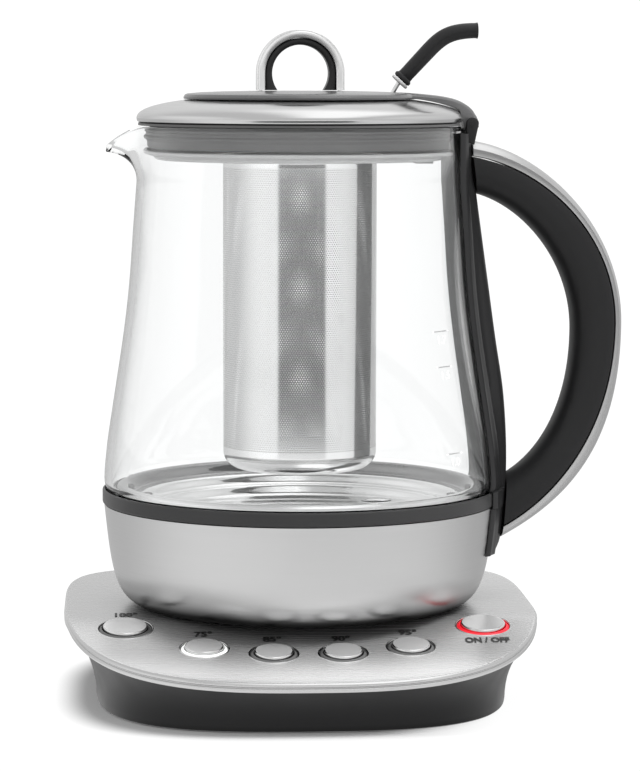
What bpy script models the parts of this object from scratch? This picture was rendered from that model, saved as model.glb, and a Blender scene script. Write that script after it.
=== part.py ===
# Electric tea kettle: a glass jug with a hinged lid, a tea filter and a D handle, on a power base
# with six buttons. Lengths are in metres. While it is built, the jug's axis is the Z axis, the handle
# lies to +X and the buttons face -Y; at the end the whole kettle is moved so that the middle of its
# own footprint box, on the table, is the origin.

import math

import bpy
import bmesh
from mathutils import Matrix, Vector
from mathutils.geometry import interpolate_bezier

# Clearances
touch_gap = 0.0003
slide_gap = 0.0004
deck_gap = 0.0006
overrun = 0.003
merge_distance = 0.00001
smooth_angle = math.radians(35)

# Facets
wide_steps = 28
glass_steps = 32
round_steps = 22
small_steps = 12
well_steps = 14
tiny_steps = 8

# Base: the seat under the jug, and the panel round it, level behind and tilted down to the front
seat_height = 0.0337
seat_radius = 0.0600
seat_step_run = 0.0028
seat_flat_radius = seat_radius - seat_step_run
panel_side_reach = 0.0315
panel_end_reach = 0.0358
base_half_width = seat_radius + panel_side_reach
base_half_depth = seat_radius + panel_end_reach
base_forward_shift = 0.0050
base_front_power = 3.0
base_back_power = 4.0
panel_slope = math.radians(11.6)
panel_crease_share = 0.62
panel_crease = seat_radius * panel_crease_share
panel_blend = 0.0040
plate_thickness = 0.0010
rim_width = 0.0018
rim_height = 0.0045
rim_shares = ((0.90, 0.00), (0.00, 0.20), (0.44, 0.51), (0.06, 0.72), (0.44, 1.00), (1.00, 1.00))
panel_ring_shares = (0.00, 0.45)

# Base body, cover and feet
body_wall = 0.0022
deck_thickness = 0.0030
skirt_top_inset = 0.0026
skirt_foot_inset = 0.0145
skirt_foot_height = 0.0005
skirt_curve_power = 2.2
skirt_height_shares = (1.00, 0.80, 0.45, 0.00)
cover_thickness = 0.0022
foot_radius = 0.0065
foot_height = 0.0022
foot_inset_x = 0.0120
foot_inset_y = 0.0040
foot_reach_x = seat_radius - foot_inset_x
foot_reach_y = seat_radius - foot_inset_y
boss_radius = 0.0036
boss_inset = 0.0170
boss_reach_x = seat_radius - boss_inset
boss_reach_y = seat_radius / 2.0
corners = (("front_left", -1, -1), ("front_right", 1, -1), ("back_left", -1, 1), ("back_right", 1, 1))
screw_head_radius = 0.0029
screw_head_height = 0.0010
screw_shank_radius = 0.0013
screw_grip = 0.0090

# Cord gland
gland_height = 0.0110
gland_outer_radius = 0.0042
gland_bore_radius = 0.0027
gland_length = 0.0110
gland_proud = 0.0016
gland_flange_radius = 0.0062
gland_flange_thickness = 0.0015

# Buttons: turns from the front in degrees, reach from the edge of the seat
inner_button_reach = 0.0131
middle_button_reach = 0.0167
outer_button_reach = 0.0217
inner_button_distance = seat_radius + inner_button_reach
middle_button_distance = seat_radius + middle_button_reach
outer_button_distance = seat_radius + outer_button_reach
middle_button_radius = 0.00715
outer_button_radius = 0.00835
button_turns = {"100": -55.6, "75": -30.0, "85": -10.1, "90": 10.1, "95": 30.0, "power": 55.6}
inner_buttons = ("85", "90")
outer_buttons = ("100", "power")
button_well_gap = 0.0019
button_proud = 0.0017
button_skirt_depth = 0.0021
button_travel = 0.0008
button_crown = 0.0003
button_edge = 0.0005
button_guide_radius = 0.0030
well_depth = 0.0032
light_ring_thickness = 0.0010
light_ring_inner_gap = 0.0005

# Control board and switches
board_thickness = 0.0016
board_height = 0.0085
board_inner_reach = 0.0060
board_width = 0.0165
board_inner_radius = seat_radius + board_inner_reach
board_outer_radius = board_inner_radius + board_width
board_half_turn = math.radians(62)
board_arc_steps = 14
switch_radius = 0.0028
switch_height = 0.0034
board_post_radius = 0.0024
board_post_turns = (-44.0, 0.0, 44.0)

# Power connector
connector_bore = 0.0240
connector_flange_width = 0.0030
connector_flange_radius = connector_bore + connector_flange_width
connector_flange_thickness = 0.0020
connector_face_proud = 0.0008
connector_post_radius = 0.0125
connector_post_height = 0.0110
contact_pin_radius = 0.0022
contact_pin_height = 0.0030
contact_ring_radius = 0.0180
contact_ring_width = 0.0014
contact_ring_height = 0.0016

# Jug shell, band and floor: all follow the shell's top edge
jug_bottom = seat_height + touch_gap
shell_height = 0.0395
shell_top_height = jug_bottom + shell_height
shell_top_radius = 0.0759
shell_sheet = 0.0008
shell_belly_share = 0.304
shell_belly_height = jug_bottom + shell_height * shell_belly_share
shell_belly_inset = 0.0029
shell_belly_radius = shell_top_radius - shell_belly_inset
shell_foot_inset = 0.0189
shell_foot_radius = shell_top_radius - shell_foot_inset
shell_foot_width = 0.0050
shell_hole_radius = shell_foot_radius - shell_foot_width
shell_foot_reach = 0.0150
shell_arc_points = 6
band_proud = 0.0006
band_outer_radius = shell_top_radius + band_proud
band_lip_radius = shell_top_radius - touch_gap
band_ledge_inset = 0.0054
band_ledge_radius = shell_top_radius - band_ledge_inset
band_height = 0.0054
band_ledge_thickness = 0.0016
band_edge = 0.0005
gasket_height = 0.0012
gasket_inset = 0.0045
gasket_inner_radius = shell_top_radius - gasket_inset
floor_sheet = 0.0008
floor_inset = 0.0048
floor_edge_radius = shell_top_radius - floor_inset
floor_drop = 0.0053
floor_height = shell_top_height - floor_drop
floor_rise = 0.0123
floor_rim_height = floor_height + floor_rise
floor_step_width = 0.0203
floor_flat_radius = floor_edge_radius - floor_step_width
# Steps of the floor: share of the way from the flat's edge to the rim, share of its depth
floor_step_shares = ((1.00, 0.92), (0.93, 1.00), (0.80, 0.97), (0.66, 0.66), (0.48, 0.61), (0.34, 0.33),
                     (0.19, 0.29), (0.03, 0.00))
bottom_cover_thickness = 0.0018

# Heater, sensor and jug socket
heat_plate_inset = 0.0178
heat_plate_radius = floor_flat_radius - heat_plate_inset
heat_plate_thickness = 0.0030
heater_ring_inset = 0.0095
heater_ring_radius = heat_plate_radius - heater_ring_inset
heater_tube_radius = 0.0033
heater_leg_length = 0.0070
heater_leg_turn = math.radians(14)
sensor_inset = 0.0082
sensor_turn = math.radians(40.5)
sensor_reach_x = (floor_flat_radius - sensor_inset) * math.cos(sensor_turn)
sensor_reach_y = (floor_flat_radius - sensor_inset) * math.sin(sensor_turn)
sensor_head_radius = 0.0062
sensor_head_height = 0.0008
sensor_stem_radius = 0.0028
sensor_stem_length = 0.0070
socket_wall = 0.0075
socket_body_radius = connector_post_radius + socket_wall
socket_flange_width = 0.0010
socket_flange_radius = connector_bore + socket_flange_width
socket_roof_thickness = 0.0020
socket_contact_height = 0.0014

# Glass jug: shares of the way from the neck's radius to the foot's, and from the foot's height to the neck's
glass_wall = 0.0028
glass_foot_gap = 0.0012
glass_foot_radius = band_lip_radius - glass_foot_gap
glass_foot_height = shell_top_height + band_ledge_thickness + gasket_height + 3.0 * touch_gap
glass_height = 0.1208
neck_height = glass_foot_height + glass_height
neck_inset = 0.0115
neck_radius = glass_foot_radius - neck_inset
glass_shares = ((1.000, 0.0000), (1.052, 0.0180), (1.113, 0.0393), (1.035, 0.1475), (0.809, 0.2951),
                (0.452, 0.5164), (0.261, 0.6721), (0.113, 0.8607), (0.000, 1.0000))
neck_length = 0.0210
rim_top = neck_height + neck_length
rim_taper = 0.0009
rim_radius = neck_radius - rim_taper
mouth_radius = rim_radius - glass_wall
spout_reach = 0.0127
spout_radius = neck_radius + spout_reach
spout_drop = 0.0096
spout_height = rim_top - spout_drop
spout_half_turn = math.radians(27)
spout_radius_power = 2.0
spout_height_power = 1.6
neck_ring_shares = (0.35, 0.62, 0.82, 1.00)
spout_angle_steps = 10

# Handle spine: shares of its block's depth over the glass, at shares of its own height
spine_depth = 0.0080
spine_shares = ((0.387, 0.0000), (0.570, 0.0321), (0.640, 0.1983), (0.979, 0.3705), (0.966, 0.5190),
                (0.611, 0.8337), (0.425, 0.9287), (0.413, 1.0000))
spine_ring_shares = (0.0, 0.032, 0.074, 0.175, 0.240, 0.299, 0.370, 0.448, 0.519, 0.644, 0.768, 0.869, 0.929)
spine_foot_drop = 0.0207
spine_foot_height = shell_top_height - spine_foot_drop
spine_half_turn = math.radians(19)
spine_wing = 0.0016
spine_block_half = 0.0060
spine_shoulder_half = 0.0130
spine_arc_points = 7

# Handle: three curves of the D in the XZ plane, and how far their handles lean
strip_top_drop = 0.0056
strip_top_height = rim_top - strip_top_drop
strip_foot_drop = 0.0131
strip_foot_height = shell_top_height - strip_foot_drop
strip_far_share = 0.542
strip_far_height = strip_foot_height + (strip_top_height - strip_foot_height) * strip_far_share
handle_reach = 0.0504
strip_far_reach = glass_foot_radius + handle_reach
strip_top_depth = 0.0062
strip_far_depth = 0.0035
strip_foot_depth = 0.0043
groove_top_height = strip_top_height - strip_top_depth
groove_far_reach = strip_far_reach - strip_far_depth
groove_foot_height = strip_foot_height + strip_foot_depth
grip_top_depth = 0.0142
grip_far_depth = 0.0159
grip_foot_depth = 0.0208
grip_top_height = groove_top_height - grip_top_depth
grip_far_reach = groove_far_reach - grip_far_depth
grip_foot_height = groove_foot_height + grip_foot_depth
grip_far_share = 0.512
grip_far_height = grip_foot_height + (grip_top_height - grip_foot_height) * grip_far_share
grip_half_width = 0.0110
strip_half_width = 0.0105
handle_stations = 7
strip_lean_shares = (0.47, 0.05, 0.55, 0.48, 0.52, 0.19)
groove_lean_shares = (0.47, 0.06, 0.55, 0.48, 0.52, 0.16)
grip_lean_shares = (0.52, 0.10, 0.48, 0.40, 0.52, 0.17)
handle_screw_heights = {"upper": (groove_top_height + grip_top_height) / 2.0,
                        "lower": (groove_foot_height + grip_foot_height) / 2.0}
handle_screw_radius = 0.0016
handle_screw_head = 0.0028
handle_screw_head_depth = 0.0014
handle_screw_length = 0.0120
grip_section_shares = ((0.00, -0.58), (0.10, -0.88), (0.32, -1.00), (0.80, -1.00), (1.00, -0.90),
                       (1.00, 0.90), (0.80, 1.00), (0.32, 1.00), (0.10, 0.88), (0.00, 0.58))
strip_section_shares = ((0.00, -0.96), (0.46, -1.00), (0.84, -0.84), (1.00, -0.60),
                        (1.00, 0.60), (0.84, 0.84), (0.46, 1.00), (0.00, 0.96))

# Lid hinge
hinge_offset = 0.0033
hinge_reach = rim_radius + hinge_offset
hinge_rise = 0.0011
hinge_height = rim_top + hinge_rise
hinge_barrel_radius = 0.0031
hinge_pin_radius = 0.0010
ear_radius = 0.0032
ear_thickness = 0.0030
tail_half_width_at_hinge = 0.0090
tail_half_width_at_cap = 0.0160

# Lid: heights above the jug's rim, radii from the jug's mouth
dome_sheet = 0.0008
dome_overhang = 0.0018
dome_edge_radius = rim_radius + dome_overhang
dome_lip_rise = 0.0009
dome_lip_height = rim_top + dome_lip_rise
dome_lip_depth = 0.0019
dome_edge_height = dome_lip_height + dome_lip_depth
dome_lip_return = 0.0008
dome_rise = 0.0072
dome_crown_height = dome_edge_height + dome_rise
dome_width = 0.0198
dome_crown_radius = dome_edge_radius - dome_width
dome_land = 0.0140
dome_inner_radius = dome_crown_radius - dome_land
dome_arc_points = 5
dome_crown_handle = 0.0110
dome_edge_handle = 0.0033
cap_overhang = 0.0008
cap_radius = dome_crown_radius + cap_overhang
cap_rise = 0.0034
cap_top_height = dome_crown_height + cap_rise
cap_edge_drop = 0.0009
cap_edge_radius = 0.0012
seal_gap = 0.0004
seal_rib_radius = mouth_radius - seal_gap
seal_rib_depth = 0.0010
seal_outer_radius = seal_rib_radius - seal_rib_depth
seal_rib_half = 0.0009
seal_rib_drops = (0.0016, 0.0045)
seal_thickness = 0.0032
plug_radius = seal_outer_radius - seal_thickness
plug_flange_proud = 0.0002
plug_flange_radius = rim_radius + plug_flange_proud
plug_flange_thickness = 0.0009
plug_depth = 0.0088
plug_bottom = rim_top - plug_depth
plug_wall = 0.0016
notch_depth = 0.0036
notch_reach = dome_edge_radius - notch_depth
notch_gap = 0.0006

# Tail: shares of the way from its start to the back of the hinge, and from the hinge up to the cap's top
tail_start_inset = 0.0118
tail_start_reach = cap_radius - tail_start_inset
tail_upper_shares = ((0.130, 0.951), (0.393, 0.911), (0.624, 0.829), (0.780, 0.707), (0.910, 0.472),
                     (0.972, 0.228))
tail_lower_shares = (0.780, 0.706, 0.607, 0.480, 0.311)
tail_clearance = 0.0006
tail_barrel_points = 6
barrel_start_turn = math.radians(15)
barrel_sweep = math.radians(180)
tail_edge_drop = 0.0006
tail_edge_share = 0.93

# Hoop handle on the lid
hoop_outer_radius = 0.0168
hoop_thickness = 0.0032
hoop_half_width = 0.0062
hoop_rise = 0.0235
hoop_top_height = cap_top_height + hoop_rise
hoop_arc_points = 11
hoop_chamfer_share = 0.45
insert_thickness = 0.0024
insert_half_width = 0.0052
insert_leg_points = 3
insert_section_shares = ((0.00, -0.80), (0.14, -1.00), (0.86, -1.00), (1.00, -0.80),
                         (1.00, 0.80), (0.86, 1.00), (0.14, 1.00), (0.00, 0.80))
lid_screw_radius = 0.0014
lid_screw_head_height = 0.0012
lid_screw_bite = 0.0050

# Thumb lever on the lid
lever_inset = 0.0102
lever_pivot_reach = cap_radius - lever_inset
lever_pivot_depth = 0.0018
lever_pivot_height = cap_top_height - lever_pivot_depth
lever_rod_radius = 0.00085
lever_rod_length = 0.0056
lever_rod_lean = math.radians(56)
lever_eye_radius = 0.0015
lever_eye_half_width = 0.0012
lever_pin_radius = 0.0006
lever_pin_half_length = 0.0045
lever_slot_half_length = 0.0026
washer_radius = 0.0037
washer_thickness = 0.0012
grip_flange_thickness = 0.0016
lever_grip_radius = 0.0031
lever_head_lean = math.radians(47)
lever_reach = 0.0344
lever_grip_end_reach = lever_pivot_reach + lever_reach
lever_rise = 0.0250
lever_grip_end_height = lever_pivot_height + lever_rise
lever_grip_steps = 8
lever_grip_stretch = 0.0140

# Tea filter and its collar, hung from the jug's mouth
collar_gap = 0.0001
collar_outer_radius = mouth_radius - collar_gap
collar_taper = 0.0011
collar_foot_radius = collar_outer_radius - collar_taper
collar_drop = 0.0096
collar_top = rim_top - collar_drop
collar_height = 0.0032
collar_foot = collar_top - collar_height
collar_wall = 0.0015
collar_web = 0.0014
filter_radius = 0.0296
filter_sheet = 0.0006
filter_rim_width = 0.0030
filter_rim_radius = filter_radius + filter_rim_width
filter_rim_drop = 0.0020
filter_rim_height = collar_top - filter_rim_drop
filter_floor_gap = 0.0125
filter_wall_bottom = floor_rim_height + filter_floor_gap
filter_round_depth = 0.0068
filter_bottom = filter_wall_bottom - filter_round_depth
filter_round_shares = ((0.965, 0.60), (0.85, 0.18), (0.62, 0.03))


# Scene set-up
for old_object in list(bpy.data.objects):
    bpy.data.objects.remove(old_object, do_unlink=True)
for old_collection in list(bpy.data.collections):
    bpy.data.collections.remove(old_collection)

parts = bpy.data.collections.new("electric_tea_kettle")
cutters = bpy.data.collections.new("cutters")
for collection in (parts, cutters):
    bpy.context.scene.collection.children.link(collection)


def finish(name, colour, roughness, metallic=0.0, transmission=0.0):
    material = bpy.data.materials.new(name)
    material.use_nodes = True
    shader = material.node_tree.nodes["Principled BSDF"]
    shader.inputs["Base Color"].default_value = (*colour, 1.0)
    shader.inputs["Roughness"].default_value = roughness
    shader.inputs["Metallic"].default_value = metallic
    shader.inputs["Transmission Weight"].default_value = transmission
    material.diffuse_color = (*colour, 1.0)
    return material


brushed_steel = finish("brushed_steel", (0.62, 0.62, 0.62), 0.34, 1.0)
polished_steel = finish("polished_steel", (0.74, 0.74, 0.74), 0.14, 1.0)
aluminium = finish("aluminium", (0.70, 0.70, 0.71), 0.45, 1.0)
brass = finish("brass", (0.72, 0.55, 0.25), 0.30, 1.0)
black_plastic = finish("black_plastic", (0.020, 0.020, 0.021), 0.38)
dark_plastic = finish("dark_plastic", (0.060, 0.060, 0.062), 0.42)
grey_plastic = finish("grey_plastic", (0.45, 0.45, 0.45), 0.40)
rubber = finish("rubber", (0.10, 0.10, 0.10), 0.70)
silicone = finish("silicone", (0.60, 0.60, 0.60), 0.55)
light_plastic = finish("light_plastic", (0.75, 0.75, 0.75), 0.35, 0.0, 0.3)
red_plastic = finish("red_plastic", (0.80, 0.03, 0.03), 0.30, 0.0, 0.2)
glass = finish("glass", (0.95, 0.97, 0.97), 0.02, 0.0, 1.0)
board_green = finish("board_green", (0.03, 0.16, 0.06), 0.50)


def add_carrier(name, place, parent=None):
    carrier = bpy.data.objects.new(name, None)
    carrier.empty_display_size = seat_radius
    parts.objects.link(carrier)
    carrier.location = place
    if parent is not None:
        attach(carrier, parent)
    bpy.context.view_layer.update()
    return carrier


def attach(item, carrier):
    item.parent = carrier
    item.matrix_parent_inverse = carrier.matrix_world.inverted()


def add_part(name, mesh, material, carrier, frame=None):
    part = bpy.data.objects.new(name, mesh)
    parts.objects.link(part)
    mesh.materials.append(material)
    if frame is not None:
        part.matrix_basis = frame
    attach(part, carrier)
    if mesh.polygons:
        mesh.shade_smooth()
        mesh.set_sharp_from_angle(angle=smooth_angle)
    return part


def add_cutter(name, mesh, frame=None):
    cutter = bpy.data.objects.new(name, mesh)
    cutters.objects.link(cutter)
    if frame is not None:
        cutter.matrix_basis = frame
    cutter.hide_render = True
    cutter.display_type = "WIRE"
    attach(cutter, kettle)
    return cutter


def combine(part, tool, operation="DIFFERENCE"):
    joint = part.modifiers.new(operation.title() + " " + tool.name, "BOOLEAN")
    joint.operation = operation
    joint.object = tool
    joint.solver = "EXACT"


def mesh_from(name, build):
    mesh = bpy.data.meshes.new(name)
    bmesh.ops.recalc_face_normals(build, faces=build.faces)
    build.to_mesh(mesh)
    build.free()
    return mesh


# Mesh builders
def loft(name, rings, wrap=False, capped=True, ridged=False):
    # Rings have equal counts of points; wrap joins the last ring to the first one.
    # A ridged loft splits each quad along its higher diagonal, so stacked sheets stay parallel.
    build = bmesh.new()
    rows = [[build.verts.new(point) for point in ring] for ring in rings]
    pairs = list(zip(rows, rows[1:]))
    if wrap:
        pairs.append((rows[-1], rows[0]))
    for above, below in pairs:
        for index, corner in enumerate(above):
            follower = (index + 1) % len(above)
            quad = (corner, below[index], below[follower], above[follower])
            if not ridged:
                build.faces.new(quad)
            elif quad[0].co.z + quad[2].co.z >= quad[1].co.z + quad[3].co.z:
                build.faces.new(quad[:3])
                build.faces.new((quad[0], quad[2], quad[3]))
            else:
                build.faces.new((quad[0], quad[1], quad[3]))
                build.faces.new(quad[1:])
    if capped and not wrap:
        build.faces.new(rows[0])
        build.faces.new(rows[-1])
    return mesh_from(name, build)


def turned(name, outline, material, carrier, frame=None, closed=False, steps=round_steps, sheet=0.0):
    mesh = bpy.data.meshes.new(name)
    count = len(outline)
    edges = [(index, index + 1) for index in range(count - 1)]
    if closed:
        edges.append((count - 1, 0))
    mesh.from_pydata([(radius, 0.0, height) for radius, height in outline], edges, [])
    part = add_part(name, mesh, material, carrier, frame)
    turn = part.modifiers.new("Turn", "SCREW")
    turn.axis = "Z"
    turn.steps = steps
    turn.render_steps = steps
    turn.use_merge_vertices = True
    turn.merge_threshold = merge_distance
    turn.use_smooth_shade = True
    if sheet:
        wall = part.modifiers.new("Sheet", "SOLIDIFY")
        wall.thickness = sheet
        wall.offset = -1.0
        wall.use_even_offset = True
    return part


def spun(name, outline, frame, steps=small_steps, closed=False):
    # A turned body placed by a frame, as plain mesh.
    build = bmesh.new()
    rings = []
    for radius, height in outline:
        ring = []
        for step in range(steps):
            angle = math.tau * step / steps
            point = Vector((radius * math.cos(angle), radius * math.sin(angle), height))
            ring.append(build.verts.new(frame @ point))
        rings.append(ring)
    pairs = list(zip(rings, rings[1:]))
    if closed:
        pairs.append((rings[-1], rings[0]))
    for above, below in pairs:
        for index in range(steps):
            follower = (index + 1) % steps
            build.faces.new((above[index], below[index], below[follower], above[follower]))
    if not closed:
        build.faces.new(rings[0])
        build.faces.new(rings[-1])
    return mesh_from(name, build)


def round_ring(centre, axis, side, radius, steps=tiny_steps):
    lift = axis.cross(side).normalized()
    across = lift.cross(axis).normalized()
    ring = []
    for step in range(steps):
        angle = math.tau * step / steps
        ring.append(centre + across * radius * math.cos(angle) + lift * radius * math.sin(angle))
    return ring


def tube(name, points, radius):
    # A round bar along a path that bends about the Z axis or drops down from it.
    rings = []
    for index, point in enumerate(points):
        before = points[max(0, index - 1)]
        after = points[min(len(points) - 1, index + 1)]
        outward = Vector((point.x, point.y, 0.0)).normalized()
        axis = (after - before).normalized()
        rings.append(round_ring(point, axis, outward, radius))
    return loft(name, rings)


def rod(name, radius, start, end, steps=small_steps):
    axis = Vector(end) - Vector(start)
    middle = (Vector(start) + Vector(end)) / 2.0
    build = bmesh.new()
    place = Matrix.Translation(middle) @ axis.to_track_quat("Z", "Y").to_matrix().to_4x4()
    bmesh.ops.create_cone(build, cap_ends=True, segments=steps, radius1=radius, radius2=radius,
                          depth=axis.length, matrix=place)
    return mesh_from(name, build)


def block(name, low, high):
    low, high = Vector(low), Vector(high)
    build = bmesh.new()
    place = Matrix.Translation((low + high) / 2.0) @ Matrix.Diagonal((*(high - low), 1.0))
    bmesh.ops.create_cube(build, size=1.0, matrix=place)
    return mesh_from(name, build)


# Curves and profiles
def smooth(share):
    share = min(1.0, max(0.0, share))
    return share * share * (3.0 - 2.0 * share)


def bezier(knot, handle, far_handle, far_knot, count):
    points = interpolate_bezier(knot, handle, far_handle, far_knot, count)
    return [Vector((point.x, point.y)) for point in points]


def value_at(profile, height):
    # Radius on a profile of (radius, height) points at a height, along a smooth curve.
    points = sorted(profile, key=lambda point: point[1])
    if height <= points[0][1]:
        return points[0][0]
    for index in range(len(points) - 1):
        (low_value, low), (high_value, high) = points[index], points[index + 1]
        if height <= high:
            share = (height - low) / (high - low)
            before = points[max(0, index - 1)]
            after = points[min(len(points) - 1, index + 2)]
            leaving = (high_value - before[0]) / (high - before[1]) * (high - low)
            arriving = (after[0] - low_value) / (after[1] - low) * (high - low)
            square, cube = share * share, share * share * share
            return (low_value * (2 * cube - 3 * square + 1) + leaving * (cube - 2 * square + share)
                    + high_value * (3 * square - 2 * cube) + arriving * (cube - square))
    return points[-1][0]


def straight_value_at(profile, height):
    points = sorted(profile, key=lambda point: point[1])
    for (low_value, low), (high_value, high) in zip(points, points[1:]):
        if low <= height <= high:
            return low_value + (high_value - low_value) * (height - low) / (high - low)
    return points[0][0] if height < points[0][1] else points[-1][0]


def placed(shares, low_value, high_value, low_height, high_height):
    # A profile of (value, height) points from its shares of two spans.
    return [(low_value + out * (high_value - low_value), low_height + up * (high_height - low_height))
            for out, up in shares]


glass_profile = placed(glass_shares, neck_radius, glass_foot_radius, glass_foot_height, neck_height)

kettle = add_carrier("kettle_frame", (0.0, 0.0, 0.0))
jug = add_carrier("jug_frame", (0.0, 0.0, jug_bottom), kettle)
lid = add_carrier("lid_hinge_frame", (hinge_reach, 0.0, hinge_height), jug)
lever = add_carrier("lever_frame", (lever_pivot_reach, 0.0, lever_pivot_height), lid)


# Base outline, the same angles for every ring
def base_outline(inset):
    ring = []
    half_x, half_y = base_half_width - inset, base_half_depth - inset
    for step in range(wide_steps):
        angle = math.tau * step / wide_steps
        east, north = math.cos(angle), math.sin(angle)
        power = base_back_power if north > 0.0 else base_front_power
        reach = (abs(east / half_x) ** power + abs(north / half_y) ** power) ** (-1.0 / power)
        ring.append(Vector((reach * east, reach * north - base_forward_shift)))
    return ring


def panel_height(y):
    # Level behind the crease, and a straight slope in front of it, with a short bend between.
    past = -y - panel_crease
    if past < -panel_blend:
        return seat_height
    if past < panel_blend:
        return seat_height - math.tan(panel_slope) * (past + panel_blend) ** 2 / (4.0 * panel_blend)
    return seat_height - math.tan(panel_slope) * past


def seat_ring(radius, drop):
    return [Vector((*(edge.normalized() * radius), seat_height - drop)) for edge in base_outline(0.0)]


def panel_ring(share, inset, drop):
    ring = []
    for edge in base_outline(inset):
        point = (edge.normalized() * seat_radius).lerp(edge, share)
        ring.append(Vector((point.x, point.y, panel_height(point.y) - drop)))
    return ring


def rim_ring(inset, drop):
    return [Vector((edge.x, edge.y, panel_height(start.y) - drop))
            for edge, start in zip(base_outline(inset), base_outline(rim_width))]


def skirt_inset(share):
    return skirt_top_inset + (skirt_foot_inset - skirt_top_inset) * (1.0 - share ** skirt_curve_power)


def skirt_ring(share, extra_inset):
    ring = []
    inset = skirt_inset(share) + extra_inset
    for edge, start in zip(base_outline(inset), base_outline(rim_width)):
        top = panel_height(start.y) - rim_height - touch_gap
        ring.append(Vector((edge.x, edge.y, skirt_foot_height + share * (top - skirt_foot_height))))
    return ring


# Button places on the panel
def button_frame(name):
    distance = inner_button_distance if name in inner_buttons else middle_button_distance
    if name in outer_buttons:
        distance = outer_button_distance
    turn = math.radians(button_turns[name])
    outward = Vector((math.sin(turn), -math.cos(turn), 0.0))
    place = outward * distance
    place.z = panel_height(place.y)
    normal = Vector((0.0, -math.tan(panel_slope), 1.0)).normalized()
    return Matrix.Translation(place) @ normal.to_track_quat("Z", "Y").to_matrix().to_4x4()


def button_radius(name):
    return outer_button_radius if name in outer_buttons else middle_button_radius


def make_base_plate():
    rings = [seat_ring(connector_bore, 0.0), seat_ring(seat_flat_radius, 0.0)]
    rings += [panel_ring(share, rim_width, 0.0) for share in panel_ring_shares]
    rings += [rim_ring(rim_width * inset, rim_height * drop) for inset, drop in rim_shares]
    rings += [rim_ring(rim_width, plate_thickness)]
    rings += [panel_ring(share, rim_width, plate_thickness) for share in reversed(panel_ring_shares)]
    rings += [seat_ring(seat_flat_radius, plate_thickness), seat_ring(connector_bore, plate_thickness)]
    mesh = loft("base_top_plate", rings, wrap=True, ridged=True)
    plate = add_part("base_top_plate", mesh, brushed_steel, kettle)
    for name in button_turns:
        well = button_radius(name) + button_well_gap
        hole = spun("plate_hole_" + name, ((well, overrun), (well, -overrun)), button_frame(name),
                    steps=well_steps)
        combine(plate, add_cutter("plate_hole_" + name, hole))


def make_base_body():
    under_plate = plate_thickness + deck_gap
    under_deck = under_plate + deck_thickness
    edge = rim_width + touch_gap
    rings = [seat_ring(connector_bore, under_plate), seat_ring(seat_flat_radius, under_plate)]
    rings += [panel_ring(share, rim_width, under_plate) for share in panel_ring_shares]
    rings += [rim_ring(edge, under_plate), rim_ring(edge, rim_height)]
    rings += [skirt_ring(share, 0.0) for share in skirt_height_shares]
    rings += [skirt_ring(share, body_wall) for share in reversed(skirt_height_shares[1:])]
    rings += [rim_ring(edge + body_wall, under_deck)]
    rings += [panel_ring(share, edge, under_deck) for share in reversed(panel_ring_shares)]
    rings += [seat_ring(seat_flat_radius, under_deck), seat_ring(connector_bore, under_deck)]
    mesh = loft("base_body_shell", rings, wrap=True, ridged=True)
    body = add_part("base_body_shell", mesh, dark_plastic, kettle)
    cover_top = foot_height + touch_gap + cover_thickness
    boss_top = seat_height - under_deck + deck_thickness / 2.0
    for name, place in boss_places():
        start = (place.x, place.y, cover_top + touch_gap)
        boss = rod("boss", boss_radius, start, (place.x, place.y, boss_top), tiny_steps)
        combine(body, add_cutter("boss_" + name, boss), "UNION")
        top = cover_top + touch_gap + screw_grip
        bore = rod("boss_bore", screw_shank_radius + touch_gap, (place.x, place.y, skirt_foot_height),
                   (place.x, place.y, top), tiny_steps)
        combine(body, add_cutter("boss_bore_" + name, bore))
    for name in button_turns:
        well = button_radius(name) + button_well_gap
        guide = button_guide_radius + slide_gap
        outline = ((well, overrun), (well, -well_depth), (guide, -well_depth), (guide, -well_depth - overrun))
        hole = spun("well_" + name, outline, button_frame(name), steps=well_steps)
        combine(body, add_cutter("well_" + name, hole))
    wall = back_wall_place()
    start = (0.0, wall - gland_length - gland_flange_thickness, gland_height)
    cord_hole = rod("cord_hole", gland_outer_radius + touch_gap, start, (0.0, wall + overrun, gland_height))
    combine(body, add_cutter("cord_hole", cord_hole))


def boss_places():
    return [(name, Vector((side * boss_reach_x, end * boss_reach_y))) for name, side, end in corners]


def back_wall_place():
    # Outer face of the skirt behind the jug, at the gland's height.
    top = panel_height(base_half_depth - base_forward_shift - rim_width) - rim_height - touch_gap
    share = (gland_height - skirt_foot_height) / (top - skirt_foot_height)
    return base_half_depth - base_forward_shift - skirt_inset(share)


def make_cord_gland():
    wall = back_wall_place()
    length = gland_length
    outline = ((gland_outer_radius, gland_proud), (gland_outer_radius, gland_proud - length),
               (gland_flange_radius, gland_proud - length),
               (gland_flange_radius, gland_proud - length - gland_flange_thickness),
               (gland_bore_radius, gland_proud - length - gland_flange_thickness),
               (gland_bore_radius, gland_proud))
    frame = Matrix.Translation((0.0, wall, gland_height)) @ Matrix.Rotation(-math.pi / 2.0, 4, "X")
    mesh = spun("cord_gland", outline, frame, closed=True)
    add_part("cord_gland", mesh, rubber, kettle)


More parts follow.
